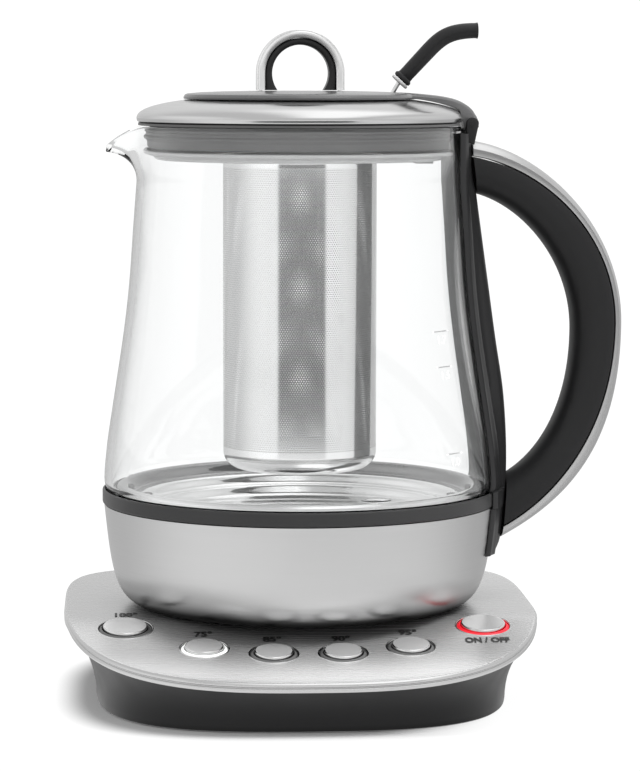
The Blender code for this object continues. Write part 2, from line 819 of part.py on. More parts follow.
def make_bottom_cover():
    inset = skirt_foot_inset + body_wall + touch_gap
    low = foot_height + touch_gap
    heights = (low + cover_thickness, low)
    rings = [[Vector((*edge, height)) for edge in base_outline(inset)] for height in heights]
    cover = add_part("base_bottom_cover", loft("base_bottom_cover", rings), dark_plastic, kettle)
    for index, turn in enumerate(board_post_turns):
        place = board_place(turn)
        post = rod("post", board_post_radius, (place.x, place.y, low + cover_thickness / 2.0),
                   (place.x, place.y, board_height - touch_gap), tiny_steps)
        combine(cover, add_cutter("post_%d" % index, post), "UNION")
    for name, place in boss_places():
        hole = rod("cover_hole", screw_shank_radius + touch_gap, (place.x, place.y, low - overrun),
                   (place.x, place.y, low + cover_thickness + overrun), tiny_steps)
        combine(cover, add_cutter("cover_hole_" + name, hole))


def board_place(turn_degrees):
    turn = math.radians(turn_degrees)
    middle = (board_inner_radius + board_outer_radius) / 2.0
    return Vector((math.sin(turn) * middle, -math.cos(turn) * middle))


def make_feet_and_screws():
    outline = ((foot_radius, foot_height), (foot_radius, foot_height / 4.0),
               (foot_radius - foot_height / 4.0, 0.0))
    for name, side, end in corners:
        frame = Matrix.Translation((side * foot_reach_x, end * foot_reach_y - base_forward_shift, 0.0))
        add_part("rubber_foot_" + name, spun("rubber_foot", outline, frame), rubber, kettle)
    low = foot_height
    outline = ((screw_shank_radius, low + touch_gap + cover_thickness + screw_grip),
               (screw_shank_radius, low), (screw_head_radius, low),
               (screw_head_radius, low - screw_head_height))
    for name, place in boss_places():
        screw = spun("base_screw", outline, Matrix.Translation((place.x, place.y, 0.0)), steps=tiny_steps)
        add_part("base_screw_" + name, screw, polished_steel, kettle)


def make_control_board():
    outline = []
    for radius, sweep in ((board_outer_radius, 1.0), (board_inner_radius, -1.0)):
        for step in range(board_arc_steps + 1):
            turn = sweep * board_half_turn * (2.0 * step / board_arc_steps - 1.0)
            outline.append((radius * math.sin(turn), -radius * math.cos(turn)))
    rings = [[Vector((x, y, height)) for x, y in outline]
             for height in (board_height + board_thickness, board_height)]
    board = add_part("control_board", loft("control_board", rings), board_green, kettle)
    low = board_height + board_thickness / 2.0
    high = board_height + board_thickness + switch_height
    for name in button_turns:
        place = switch_place(name)
        switch = rod("switch", switch_radius, (place.x, place.y, low), (place.x, place.y, high), tiny_steps)
        combine(board, add_cutter("switch_" + name, switch), "UNION")


def switch_place(name):
    # Where the button's line of travel meets the top of its switch.
    frame = button_frame(name)
    top = board_height + board_thickness + switch_height
    axis = frame.to_3x3() @ Vector((0.0, 0.0, 1.0))
    return frame.translation + axis * ((top - frame.translation.z) / axis.z)


def make_buttons():
    for name in button_turns:
        frame = button_frame(name)
        radius = button_radius(name)
        reach = (switch_place(name) - frame.translation).length
        tilt_rise = button_guide_radius * math.tan(panel_slope)
        stem = reach - button_travel - tilt_rise - touch_gap
        outline = ((0.0, button_proud), (radius - button_edge, button_proud - button_crown / 2.0),
                   (radius, button_proud - button_edge), (radius, -button_skirt_depth),
                   (button_guide_radius, -button_skirt_depth), (button_guide_radius, -stem), (0.0, -stem))
        turned("button_" + name, outline, polished_steel, kettle, frame, steps=well_steps)


def make_light_rings():
    low = -well_depth + touch_gap
    high = low + light_ring_thickness
    for name in button_turns:
        inner = button_radius(name) + light_ring_inner_gap
        outer = button_radius(name) + button_well_gap - touch_gap
        outline = ((inner, high), (outer, high), (outer, low), (inner, low))
        ring = spun("light_ring", outline, button_frame(name), steps=well_steps, closed=True)
        add_part("light_ring_" + name, ring, red_plastic if name == "power" else light_plastic, kettle)


def make_base_connector():
    face = seat_height + connector_face_proud
    deck_bottom = seat_height - plate_thickness - deck_gap - deck_thickness
    flange_top = deck_bottom - touch_gap
    flange_low = flange_top - connector_flange_thickness
    post_top = seat_height + connector_post_height
    bore = connector_bore - touch_gap
    ring_outer = contact_ring_radius + contact_ring_width / 2.0
    ring_inner = contact_ring_radius - contact_ring_width / 2.0
    groove = face - contact_ring_height
    outline = ((0.0, post_top), (connector_post_radius, post_top), (connector_post_radius, face),
               (ring_inner - touch_gap, face), (ring_inner - touch_gap, groove),
               (ring_outer + touch_gap, groove), (ring_outer + touch_gap, face), (bore, face), (bore, flange_top),
               (connector_flange_radius, flange_top), (connector_flange_radius, flange_low), (0.0, flange_low))
    turned("base_connector", outline, black_plastic, kettle, steps=round_steps - 4)
    ring_low = groove + touch_gap
    ring = ((ring_inner, face), (ring_outer, face), (ring_outer, ring_low), (ring_inner, ring_low))
    turned("contact_ring", ring, brass, kettle, closed=True, steps=round_steps - 4)
    pin_low = post_top + touch_gap
    pin = ((contact_pin_radius, pin_low + contact_pin_height), (contact_pin_radius, pin_low))
    add_part("contact_pin", spun("contact_pin", pin, Matrix()), brass, kettle)


# Jug shell: the outside from its top edge down and in under the jug
def shell_outline():
    points = bezier((shell_foot_radius, jug_bottom), (shell_foot_radius + shell_foot_reach, jug_bottom),
                    (shell_belly_radius, shell_belly_height), (shell_top_radius, shell_top_height),
                    shell_arc_points)
    return [(point.x, point.y) for point in reversed(points)] + [(shell_hole_radius, jug_bottom)]


def make_jug_shell():
    turned("steel_shell", shell_outline(), brushed_steel, jug, steps=wide_steps, sheet=shell_sheet)
    low = jug_bottom
    high = low + bottom_cover_thickness
    hole = socket_flange_radius + touch_gap
    outer = shell_hole_radius - touch_gap
    outline = ((hole, high), (outer, high), (outer, low), (hole, low))
    turned("jug_bottom_cover", outline, black_plastic, jug, closed=True, steps=wide_steps)


def make_band_and_gasket():
    low = shell_top_height + touch_gap
    ledge = low + band_ledge_thickness
    high = low + band_height
    outline = ((band_lip_radius, high), (band_outer_radius - band_edge, high),
               (band_outer_radius, high - band_edge), (band_outer_radius, low + band_edge),
               (band_outer_radius - band_edge, low),
               (band_ledge_radius, low), (band_ledge_radius, ledge), (band_lip_radius, ledge))
    turned("band_ring", outline, black_plastic, jug, closed=True, steps=wide_steps)
    bottom = ledge + touch_gap
    outer = band_lip_radius - touch_gap
    outline = ((gasket_inner_radius, bottom + gasket_height), (outer, bottom + gasket_height),
               (outer, bottom), (gasket_inner_radius, bottom))
    turned("glass_gasket", outline, silicone, jug, closed=True, steps=wide_steps)


def make_floor():
    outline = []
    for out_share, up_share in floor_step_shares:
        outline.append((floor_flat_radius + out_share * (floor_edge_radius - floor_flat_radius),
                        floor_height + up_share * (floor_rim_height - floor_height)))
    outline.append((0.0, floor_height))
    floor = turned("steel_floor", outline, polished_steel, jug, steps=round_steps, sheet=floor_sheet)
    place = Matrix.Translation((sensor_reach_x, sensor_reach_y, 0.0))
    hole_radius = sensor_stem_radius + touch_gap
    outline = ((hole_radius, floor_height + overrun), (hole_radius, floor_height - overrun))
    hole = spun("sensor_hole", outline, place)
    combine(floor, add_cutter("sensor_hole", hole))
    head = floor_height + floor_sheet + touch_gap
    stem_end = floor_height - sensor_stem_length
    outline = ((sensor_head_radius - sensor_head_height / 2.0, head + sensor_head_height),
               (sensor_head_radius, head),
               (sensor_stem_radius, head), (sensor_stem_radius, stem_end))
    add_part("temperature_sensor", spun("temperature_sensor", outline, place), polished_steel, jug)


def make_heater():
    plate_top = floor_height - touch_gap
    plate_low = plate_top - heat_plate_thickness
    outline = ((0.0, plate_top), (heat_plate_radius, plate_top), (heat_plate_radius, plate_low),
               (0.0, plate_low))
    turned("heat_plate", outline, aluminium, jug)
    height = plate_low - touch_gap - heater_tube_radius
    turn_end = math.tau - heater_leg_turn
    points = []
    for step in range(round_steps - 8):
        turn = heater_leg_turn + (turn_end - heater_leg_turn) * step / (round_steps - 9)
        place = Vector((math.cos(turn), math.sin(turn))) * heater_ring_radius
        points.append(Vector((place.x, place.y, height)))
    drop = Vector((0.0, 0.0, heater_leg_length))
    points = [points[0] - drop] + points + [points[-1] - drop]
    add_part("heating_element", tube("heating_element", points, heater_tube_radius), brushed_steel, jug)


def make_jug_socket():
    face = jug_bottom
    post = connector_post_radius + slide_gap
    roof = seat_height + connector_post_height + contact_pin_height + slide_gap + touch_gap
    top = roof + socket_roof_thickness
    flange = face + bottom_cover_thickness
    clear = seat_height + connector_face_proud + slide_gap
    hub = connector_bore + slide_gap
    outline = ((0.0, top), (socket_body_radius, top), (socket_body_radius, flange),
               (socket_flange_radius, flange), (socket_flange_radius, face), (hub, face), (hub, clear),
               (post, clear), (post, roof), (0.0, roof))
    turned("jug_socket", outline, black_plastic, jug, steps=round_steps - 4)
    sleeve_outer = post - touch_gap
    sleeve_inner = contact_pin_radius + slide_gap
    low = roof - touch_gap - socket_contact_height
    outline = ((sleeve_inner, roof - touch_gap), (sleeve_outer, roof - touch_gap), (sleeve_outer, low),
               (sleeve_inner, low))
    add_part("socket_contact", spun("socket_contact", outline, Matrix(), closed=True), brass, jug)


# Glass: angles are closer together round the spout, which lies at -X
def glass_angles():
    near = [math.pi - spout_half_turn + 2.0 * spout_half_turn * step / spout_angle_steps
            for step in range(spout_angle_steps)]
    wide = math.tau - 2.0 * spout_half_turn
    rest = glass_steps - spout_angle_steps
    far = [math.pi + spout_half_turn + wide * step / rest for step in range(rest)]
    return near + far


def glass_ring(share, angle_list):
    ring = []
    for angle in angle_list:
        turn = abs(math.remainder(angle - math.pi, math.tau)) / spout_half_turn
        spout = math.cos(turn * math.pi / 2.0) ** 2 if turn < 1.0 else 0.0
        plain_radius = neck_radius + (rim_radius - neck_radius) * share
        plain_height = neck_height + (rim_top - neck_height) * share
        beak_radius = neck_radius + (spout_radius - neck_radius) * share ** spout_radius_power
        beak_rise = 1.0 - (1.0 - share) ** spout_height_power
        beak_height = neck_height + (spout_height - neck_height) * beak_rise
        radius = plain_radius + (beak_radius - plain_radius) * spout
        height = plain_height + (beak_height - plain_height) * spout
        ring.append(Vector((radius * math.cos(angle), radius * math.sin(angle), height)))
    return ring


def make_glass():
    angles = glass_angles()
    rings = [glass_ring(share, angles) for share in reversed(neck_ring_shares)]
    for radius, height in reversed(glass_profile):
        turns = [(math.cos(angle) * radius, math.sin(angle) * radius) for angle in angles]
        rings.append([Vector((x, y, height)) for x, y in turns])
    jug_glass = add_part("glass_jug", loft("glass_jug", rings, capped=False), glass, jug)
    wall = jug_glass.modifiers.new("Wall", "SOLIDIFY")
    wall.thickness = glass_wall
    wall.offset = -1.0
    wall.use_even_offset = True
    mesh = jug_glass.data
    if mesh.polygons[0].normal.dot(mesh.polygons[0].center) < 0.0:
        mesh.flip_normals()


def glass_outer_radius(height):
    return value_at(glass_profile, height) if height < neck_height else max(neck_radius, rim_radius)


# Spine: a bracket whose wings hug the glass, with the block that carries the handle
def band_zone():
    return shell_top_height - touch_gap, shell_top_height + band_height + 2.0 * touch_gap


def spine_inner_radius(height):
    low, high = band_zone()
    if height > high:
        return glass_outer_radius(height) + touch_gap
    if height >= low:
        return band_outer_radius + touch_gap
    return straight_value_at(shell_outline()[:-1], height) + touch_gap


def spine_block_reach(depth_share, up_share):
    height = spine_foot_height + up_share * (rim_top - spine_foot_height)
    return spine_inner_radius(height) + depth_share * spine_depth, height


spine_profile = [spine_block_reach(depth_share, up_share) for depth_share, up_share in spine_shares]


def spine_ring(height):
    inner = spine_inner_radius(height)
    outer = inner + spine_wing
    block_reach = straight_value_at(spine_profile, height)
    inside, outside = [], []
    for step in range(spine_arc_points):
        turn = spine_half_turn * (1.0 - 2.0 * step / (spine_arc_points - 1))
        inside.append(Vector((inner * math.cos(turn), inner * math.sin(turn), height)))
        across = -outer * math.sin(turn)
        wing = outer * math.cos(turn)
        fade = 1.0 - smooth((abs(across) - spine_block_half) / (spine_shoulder_half - spine_block_half))
        outside.append(Vector((wing + max(0.0, block_reach - wing) * fade, across, height)))
    return inside + outside


def hinge_ear(side):
    outline = []
    for step in range(small_steps // 2 + 1):
        angle = math.pi * step / (small_steps // 2)
        outline.append((hinge_reach + ear_radius * math.cos(angle),
                        hinge_height + ear_radius * math.sin(angle)))
    root = spine_inner_radius(rim_top) - touch_gap
    foot = spine_top() - hinge_barrel_radius
    outline += [(root, hinge_height - ear_radius), (root, foot),
                (straight_value_at(spine_profile, foot), foot),
                (hinge_reach + ear_radius, hinge_height - ear_radius)]
    inner = tail_half_width_at_hinge + 2.0 * slide_gap + tail_flare()
    rings = [[Vector((x, side * y, z)) for x, z in outline] for y in (inner, inner + ear_thickness)]
    return loft("hinge_ear", rings)


def tail_flare():
    # How much wider the tail is at the back of its barrel than at its end.
    run = hinge_reach + hinge_barrel_radius - tail_start_reach
    return (tail_half_width_at_cap - tail_half_width_at_hinge) * 2.0 * hinge_barrel_radius / run


def spine_top():
    return hinge_height - hinge_barrel_radius - touch_gap - slide_gap


def make_spine():
    heights = [spine_foot_height + share * (rim_top - spine_foot_height) for share in spine_ring_shares]
    heights = [height for height in heights if height < spine_top()] + [spine_top()]
    low, high = band_zone()
    heights += [low - 2.0 * touch_gap, low, high, high + 2.0 * touch_gap]
    rings = [spine_ring(height) for height in sorted(heights, reverse=True)]
    spine = add_part("handle_spine", loft("handle_spine", rings), black_plastic, jug)
    for side, name in ((-1, "near_ear"), (1, "far_ear")):
        combine(spine, add_cutter(name, hinge_ear(side)), "UNION")
    ear_end = tail_half_width_at_hinge + tail_flare() + ear_thickness + 2.0 * slide_gap
    pin_half = ear_end + touch_gap
    bore = rod("pin_bore", hinge_pin_radius + touch_gap, (hinge_reach, -pin_half - overrun, hinge_height),
               (hinge_reach, pin_half + overrun, hinge_height))
    combine(spine, add_cutter("pin_bore", bore))
    for name, height in handle_screw_heights.items():
        combine(spine, add_cutter("screw_hole_" + name, handle_screw(height, touch_gap, overrun)))
    pin = rod("hinge_pin", hinge_pin_radius, (hinge_reach, -pin_half, hinge_height),
              (hinge_reach, pin_half, hinge_height), tiny_steps)
    add_part("hinge_pin", pin, polished_steel, jug)


def handle_screw(height, swell, inward=0.0):
    # A screw along X from the glass side of the spine into the grip; swell makes it a clearance cutter.
    start = spine_inner_radius(height) + touch_gap
    head_end = start + handle_screw_head_depth
    outline = ((handle_screw_head + swell, start - inward), (handle_screw_head + swell, head_end + swell),
               (handle_screw_radius + swell, head_end + swell),
               (handle_screw_radius + swell, start + handle_screw_length + swell))
    frame = Matrix.Translation((0.0, 0.0, height)) @ Matrix.Rotation(math.pi / 2.0, 4, "Y")
    return spun("handle_screw", outline, frame, steps=tiny_steps)


# Handle: a strip and a grip lofted between three curves of the D
def handle_curve(top_reach, top_height, far_reach, far_height, foot_reach, foot_height, lean_shares):
    out, down = far_reach - top_reach, top_height - far_height
    leaving = (top_reach + out * lean_shares[0], top_height - down * lean_shares[1])
    first = bezier((top_reach, top_height), leaving, (far_reach, far_height + down * lean_shares[2]),
                   (far_reach, far_height), handle_stations)
    back, fall = far_reach - foot_reach, far_height - foot_height
    second = bezier((far_reach, far_height), (far_reach, far_height - fall * lean_shares[3]),
                    (foot_reach + back * lean_shares[4], foot_height + fall * lean_shares[5]),
                    (foot_reach, foot_height), handle_stations)
    return first + second[1:]


def spine_face(height):
    return straight_value_at(spine_profile, height) + touch_gap


def strip_curve():
    return handle_curve(spine_face(strip_top_height), strip_top_height, strip_far_reach, strip_far_height,
                        spine_face(strip_foot_height), strip_foot_height, strip_lean_shares)


def groove_curve():
    return handle_curve(spine_face(groove_top_height), groove_top_height, groove_far_reach, strip_far_height,
                        spine_face(groove_foot_height), groove_foot_height, groove_lean_shares)


def grip_curve():
    return handle_curve(spine_face(grip_top_height), grip_top_height, grip_far_reach, grip_far_height,
                        spine_face(grip_foot_height), grip_foot_height, grip_lean_shares)


def handle_rings(inner_curve, outer_curve, shares, half_width, inner_gap):
    rings = []
    for inner, outer in zip(inner_curve, outer_curve):
        start = inner + (outer - inner).normalized() * inner_gap
        rings.append([Vector(((start + (outer - start) * along).x, side * half_width,
                              (start + (outer - start) * along).y)) for along, side in shares])
    return rings


def make_handle():
    strip = handle_rings(groove_curve(), strip_curve(), strip_section_shares, strip_half_width, touch_gap)
    add_part("handle_strip", loft("handle_strip", strip), brushed_steel, jug)
    grip = handle_rings(grip_curve(), groove_curve(), grip_section_shares, grip_half_width, 0.0)
    handle_grip = add_part("handle_grip", loft("handle_grip", grip), black_plastic, jug)
    for name, height in handle_screw_heights.items():
        combine(handle_grip, add_cutter("grip_screw_hole_" + name, handle_screw(height, touch_gap)))
        add_part("handle_screw_" + name, handle_screw(height, 0.0), polished_steel, jug)


# Tea filter and collar
def make_filter():
    rim = filter_rim_radius
    outline = [(rim, filter_rim_height), (filter_radius, filter_rim_height),
               (filter_radius, filter_wall_bottom)]
    for out_share, up_share in filter_round_shares:
        outline.append((filter_radius * out_share,
                        filter_bottom + up_share * (filter_wall_bottom - filter_bottom)))
    outline.append((0.0, filter_bottom))
    turned("filter_basket", outline, polished_steel, jug, steps=round_steps - 8, sheet=filter_sheet)
    bore = filter_radius + touch_gap
    ledge = filter_rim_height - touch_gap
    outline = ((collar_outer_radius - collar_wall, collar_top), (collar_outer_radius, collar_top),
               (collar_foot_radius, collar_foot), (bore, ledge - collar_web), (bore, ledge),
               (collar_outer_radius - 2.0 * collar_wall, ledge + touch_gap))
    turned("filter_collar", outline, silicone, jug, closed=True)


# Lid
def dome_curve():
    return bezier((dome_crown_radius, dome_crown_height),
                  (dome_crown_radius + dome_crown_handle, dome_crown_height - dome_crown_handle / 8.0),
                  (dome_edge_radius, dome_edge_height + dome_edge_handle),
                  (dome_edge_radius, dome_edge_height), dome_arc_points)


def dome_height_at(radius):
    profile = [(point.y, point.x) for point in dome_curve()]
    return straight_value_at(profile, radius)


def hinge_notch():
    half = tail_half_width_at_hinge + tail_flare() + ear_thickness + 2.0 * slide_gap + notch_gap
    return block("hinge_notch", (notch_reach, -half, plug_bottom),
                 (dome_edge_radius + overrun, half, cap_top_height))


def make_lid_shell():
    outline = [(dome_inner_radius, dome_crown_height)] + [(point.x, point.y) for point in dome_curve()]
    outline += [(dome_edge_radius, (dome_edge_height + dome_lip_height) / 2.0),
                (dome_edge_radius - dome_lip_return, dome_lip_height)]
    notch = add_cutter("hinge_notch", hinge_notch())
    dome = turned("lid_dome", outline, brushed_steel, lid, steps=wide_steps, sheet=dome_sheet)
    combine(dome, notch)
    flange_low = rim_top + touch_gap
    flange_top = flange_low + plug_flange_thickness
    inner = plug_radius - plug_wall
    outline = ((0.0, plug_bottom + plug_wall), (inner, plug_bottom + plug_wall), (inner, flange_top),
               (plug_flange_radius, flange_top), (plug_flange_radius, flange_low), (plug_radius, flange_low),
               (plug_radius, plug_bottom), (0.0, plug_bottom))
    underside = turned("lid_underside", outline, dark_plastic, lid)
    combine(underside, notch)


def make_seal():
    top = rim_top
    outline = [(plug_radius + touch_gap, top), (seal_outer_radius, top)]
    for drop in seal_rib_drops:
        outline += [(seal_outer_radius, top - drop + seal_rib_half), (seal_rib_radius, top - drop),
                    (seal_outer_radius, top - drop - seal_rib_half)]
    outline += [(seal_outer_radius, plug_bottom), (plug_radius + touch_gap, plug_bottom)]
    turned("lid_seal", outline, rubber, lid, closed=True)


def tail_rings():
    end_reach = hinge_reach + hinge_barrel_radius
    upper = placed(tail_upper_shares, tail_start_reach, end_reach, hinge_height, cap_top_height)
    barrel = []
    for step in range(tail_barrel_points + 1):
        angle = barrel_start_turn - barrel_sweep * step / tail_barrel_points
        barrel.append((hinge_reach + hinge_barrel_radius * math.cos(angle),
                       hinge_height + hinge_barrel_radius * math.sin(angle)))
    run = end_reach - tail_start_reach
    reaches = [tail_start_reach + share * run for share in tail_lower_shares]
    lower = [(reach, dome_height_at(reach) + tail_clearance) for reach in reaches]
    start = [(tail_start_reach, cap_low() + tail_edge_drop), (tail_start_reach, upper[0][1])]
    outline = upper + barrel + lower + start
    middle_height = (cap_top_height + hinge_height) / 2.0
    rings = []
    for share in (-1.0, -tail_edge_share, tail_edge_share, 1.0):
        ring = []
        for x, z in outline:
            along = (x - tail_start_reach) / run
            half = tail_half_width_at_cap + (tail_half_width_at_hinge - tail_half_width_at_cap) * along
            top_point = (x, z) in upper
            drop = tail_edge_drop if abs(share) == 1.0 and top_point and z > middle_height else 0.0
            ring.append(Vector((x, share * half, z - drop)))
        rings.append(ring)
    return rings


def cap_low():
    return dome_crown_height + touch_gap


def make_cap():
    low = cap_low()
    edge_top = cap_top_height - cap_edge_drop
    outline = ((0.0, cap_top_height), (cap_radius / 2.0, cap_top_height - cap_edge_drop / 4.0),
               (cap_radius - cap_edge_radius, edge_top), (cap_radius, edge_top - cap_edge_radius),
               (cap_radius, low), (0.0, low))
    cap = turned("lid_cap", outline, black_plastic, lid, steps=wide_steps)
    combine(cap, add_cutter("cap_tail", loft("cap_tail", tail_rings())), "UNION")
    half = tail_half_width_at_cap
    bore = rod("tail_pin_bore", hinge_pin_radius + touch_gap, (hinge_reach, -half, hinge_height),
               (hinge_reach, half, hinge_height))
    combine(cap, add_cutter("tail_pin_bore", bore))
    slot_half = lever_eye_half_width + touch_gap
    slot = block("lever_slot", (lever_pivot_reach - lever_slot_half_length, -slot_half, low - overrun),
                 (lever_pivot_reach + lever_slot_half_length, slot_half, cap_top_height + overrun))
    combine(cap, add_cutter("lever_slot", slot))
    pin_end = lever_pin_half_length + touch_gap
    pin_bore = rod("lever_pin_bore", lever_pin_radius + touch_gap,
                   (lever_pivot_reach, -pin_end, lever_pivot_height),
                   (lever_pivot_reach, pin_end, lever_pivot_height), tiny_steps)
    combine(cap, add_cutter("lever_pin_bore", pin_bore))
    for name, frame in hoop_feet():
        outline = ((lid_screw_radius + touch_gap, cap_top_height + overrun),
                   (lid_screw_radius + touch_gap, low - overrun))
        hole = spun("hoop_screw_hole", outline, frame, steps=tiny_steps)
        combine(cap, add_cutter("hoop_screw_hole_" + name, hole))
    pin = rod("lever_pin", lever_pin_radius, (lever_pivot_reach, -lever_pin_half_length, lever_pivot_height),
              (lever_pivot_reach, lever_pin_half_length, lever_pivot_height), tiny_steps)
    add_part("lever_pin", pin, polished_steel, lid)


# Hoop handle: a steel arch with a black ring inside it, screwed on from under the cap
def make_hoop():
    foot = cap_top_height + touch_gap
    centre = hoop_top_height - hoop_outer_radius
    inner = hoop_outer_radius - hoop_thickness
    flat = 1.0 - hoop_chamfer_share
    section = ((1.0, -1.0 + hoop_chamfer_share / 4.0), (1.0, 1.0 - hoop_chamfer_share / 4.0), (flat, 1.0),
               (0.0, 1.0 - hoop_chamfer_share), (0.0, hoop_chamfer_share - 1.0), (flat, -1.0))
    stations = [(Vector((1.0, 0.0)), foot)]
    for step in range(hoop_arc_points):
        angle = math.pi * step / (hoop_arc_points - 1)
        stations.append((Vector((math.cos(angle), math.sin(angle))), centre))
    stations.append((Vector((-1.0, 0.0)), foot))
    rings = []
    for outward, height in stations:
        ring = []
        for along, side in section:
            radius = inner + hoop_thickness * along
            ring.append(Vector((outward.x * radius, side * hoop_half_width, height + outward.y * radius)))
        rings.append(ring)
    hoop = add_part("hoop_steel", loft("hoop_steel", rings), polished_steel, lid)
    make_hoop_insert(foot, centre, inner - touch_gap)
    top = foot + lid_screw_bite
    low = cap_low()
    thread = lid_screw_radius / 2.0
    shank = low + lid_screw_head_height
    for name, frame in hoop_feet():
        outline = ((thread + touch_gap, top + touch_gap), (thread + touch_gap, foot - overrun))
        bore = spun("hoop_bore", outline, frame, steps=tiny_steps)
        combine(hoop, add_cutter("hoop_bore_" + name, bore))
        outline = ((thread, top), (thread, shank), (lid_screw_radius, shank), (lid_screw_radius, low))
        screw = spun("lid_screw", outline, frame, steps=tiny_steps)
        add_part("lid_screw_" + name, screw, polished_steel, lid)


def hoop_feet():
    reach = hoop_outer_radius - hoop_thickness / 2.0
    return [("left", Matrix.Translation((-reach, 0.0, 0.0))),
            ("right", Matrix.Translation((reach, 0.0, 0.0)))]


def make_hoop_insert(foot, centre, outer):
    hole = outer - insert_thickness
    legs = []
    for step in range(insert_leg_points):
        height = foot + (centre - foot) * step / insert_leg_points
        near = math.sqrt(max(0.0, hole ** 2 - (centre - height) ** 2))
        legs.append((Vector((near, height)), Vector((outer, height))))
    stations = list(legs)
    for step in range(hoop_arc_points):
        angle = math.pi * step / (hoop_arc_points - 1)
        outward = Vector((math.cos(angle), math.sin(angle)))
        stations.append((Vector((0.0, centre)) + outward * hole, Vector((0.0, centre)) + outward * outer))
    stations += [(Vector((-near.x, near.y)), Vector((-far.x, far.y))) for near, far in reversed(legs)]
    rings = []
    for near, far in stations:
        points = [(near.lerp(far, along), side) for along, side in insert_section_shares]
        rings.append([Vector((point.x, side * insert_half_width, point.y)) for point, side in points])
    add_part("hoop_insert", loft("hoop_insert", rings), black_plastic, lid)


# Thumb lever
def lever_line(distance):
    return Vector((lever_pivot_reach + math.cos(lever_rod_lean) * distance, 0.0,
                   lever_pivot_height + math.sin(lever_rod_lean) * distance))


def make_lever():
    head = lever_line(lever_rod_length)
    axis = Vector((math.cos(lever_head_lean), 0.0, math.sin(lever_head_lean)))
    pivot = lever_line(0.0)
    wire = rod("lever_rod", lever_rod_radius, pivot, head, tiny_steps)
    shaft = add_part("lever_rod", wire, polished_steel, lever)
    eye = rod("lever_eye", lever_eye_radius, pivot - Vector((0.0, lever_eye_half_width, 0.0)),
              pivot + Vector((0.0, lever_eye_half_width, 0.0)))
    combine(shaft, add_cutter("lever_eye", eye), "UNION")
    bore = rod("lever_eye_bore", lever_pin_radius + touch_gap, pivot - Vector((0.0, overrun, 0.0)),
               pivot + Vector((0.0, overrun, 0.0)), tiny_steps)
    combine(shaft, add_cutter("lever_eye_bore", bore))
    low = head + axis * (touch_gap + lever_rod_radius * math.sin(lever_rod_lean - lever_head_lean))
    washer = rod("lever_washer", washer_radius, low, low + axis * washer_thickness)
    add_part("lever_washer", washer, grey_plastic, lever)
    start = low + axis * (washer_thickness + touch_gap)
    add_part("lever_grip", lever_grip_mesh(start, axis), black_plastic, lever)


def lever_grip_mesh(start, axis):
    end = Vector((lever_grip_end_reach, 0.0, lever_grip_end_height))
    reach = axis * lever_grip_stretch
    flange_end = start + axis * grip_flange_thickness
    bend = end - Vector((lever_grip_stretch, 0.0, 0.0))
    path = interpolate_bezier(flange_end, flange_end + reach, bend, end, lever_grip_steps)
    side = Vector((0.0, 1.0, 0.0))
    rings = [round_ring(start, axis, side, washer_radius), round_ring(flange_end, axis, side, washer_radius),
             round_ring(flange_end, axis, side, lever_grip_radius)]
    for before, point, after in zip(path, path[1:], path[2:] + [path[-1] * 2.0 - path[-2]]):
        rings.append(round_ring(point, (after - before).normalized(), side, lever_grip_radius))
    return loft("lever_grip", rings)


def stand_on_origin():
    bpy.context.view_layer.update()
    scene_state = bpy.context.evaluated_depsgraph_get()
    low, high = Vector((math.inf,) * 3), Vector((-math.inf,) * 3)
    for part in parts.objects:
        if part.type == "EMPTY":
            continue
        shape = part.evaluated_get(scene_state)
        for corner in shape.bound_box:
            place = shape.matrix_world @ Vector(corner)
            low = Vector(map(min, low, place))
            high = Vector(map(max, high, place))
    kettle.location = (-(low.x + high.x) / 2.0, -(low.y + high.y) / 2.0, -low.z)
    bpy.context.view_layer.update()


make_base_plate()
make_base_body()
make_cord_gland()
make_bottom_cover()
make_feet_and_screws()
make_control_board()
make_buttons()
make_light_rings()
make_base_connector()
make_jug_shell()
make_band_and_gasket()
make_floor()
make_heater()
make_jug_socket()
make_glass()
make_spine()
make_handle()
make_filter()
make_lid_shell()
make_seal()
make_cap()
make_hoop()
make_lever()
stand_on_origin()
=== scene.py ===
import math

import bmesh
import bpy
from mathutils import Matrix, Vector
from mathutils.geometry import interpolate_bezier


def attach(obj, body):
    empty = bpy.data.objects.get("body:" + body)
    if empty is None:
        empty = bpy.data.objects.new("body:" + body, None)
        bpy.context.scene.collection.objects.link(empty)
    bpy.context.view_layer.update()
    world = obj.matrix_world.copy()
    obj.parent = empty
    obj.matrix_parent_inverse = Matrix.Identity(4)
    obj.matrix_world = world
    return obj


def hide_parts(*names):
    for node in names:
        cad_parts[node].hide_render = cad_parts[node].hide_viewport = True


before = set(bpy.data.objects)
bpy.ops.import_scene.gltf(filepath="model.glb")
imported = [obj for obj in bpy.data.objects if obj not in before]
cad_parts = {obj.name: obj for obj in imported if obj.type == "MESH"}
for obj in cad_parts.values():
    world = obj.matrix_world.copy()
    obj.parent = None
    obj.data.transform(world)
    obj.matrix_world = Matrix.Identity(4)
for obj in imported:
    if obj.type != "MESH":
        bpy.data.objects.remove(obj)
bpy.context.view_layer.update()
print("frame loaded:", len(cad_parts), "nodes")

# Pieces are modelled in metres round the jug's axis, and seat() moves them to their place.
jugAxis = Vector((-0.01665, 0.0050, 0.0))
toAxis = Matrix.Translation(jugAxis)
plainCorner = 32.0  # degrees between two faces, past which their edge stays sharp


# Small helpers for modelling

def clearSelection():
    if bpy.context.object is not None and bpy.context.object.mode != "OBJECT":
        bpy.ops.object.mode_set(mode="OBJECT")
    bpy.ops.object.select_all(action="DESELECT")


def pick(piece):
    clearSelection()
    piece.select_set(True)
    bpy.context.view_layer.objects.active = piece


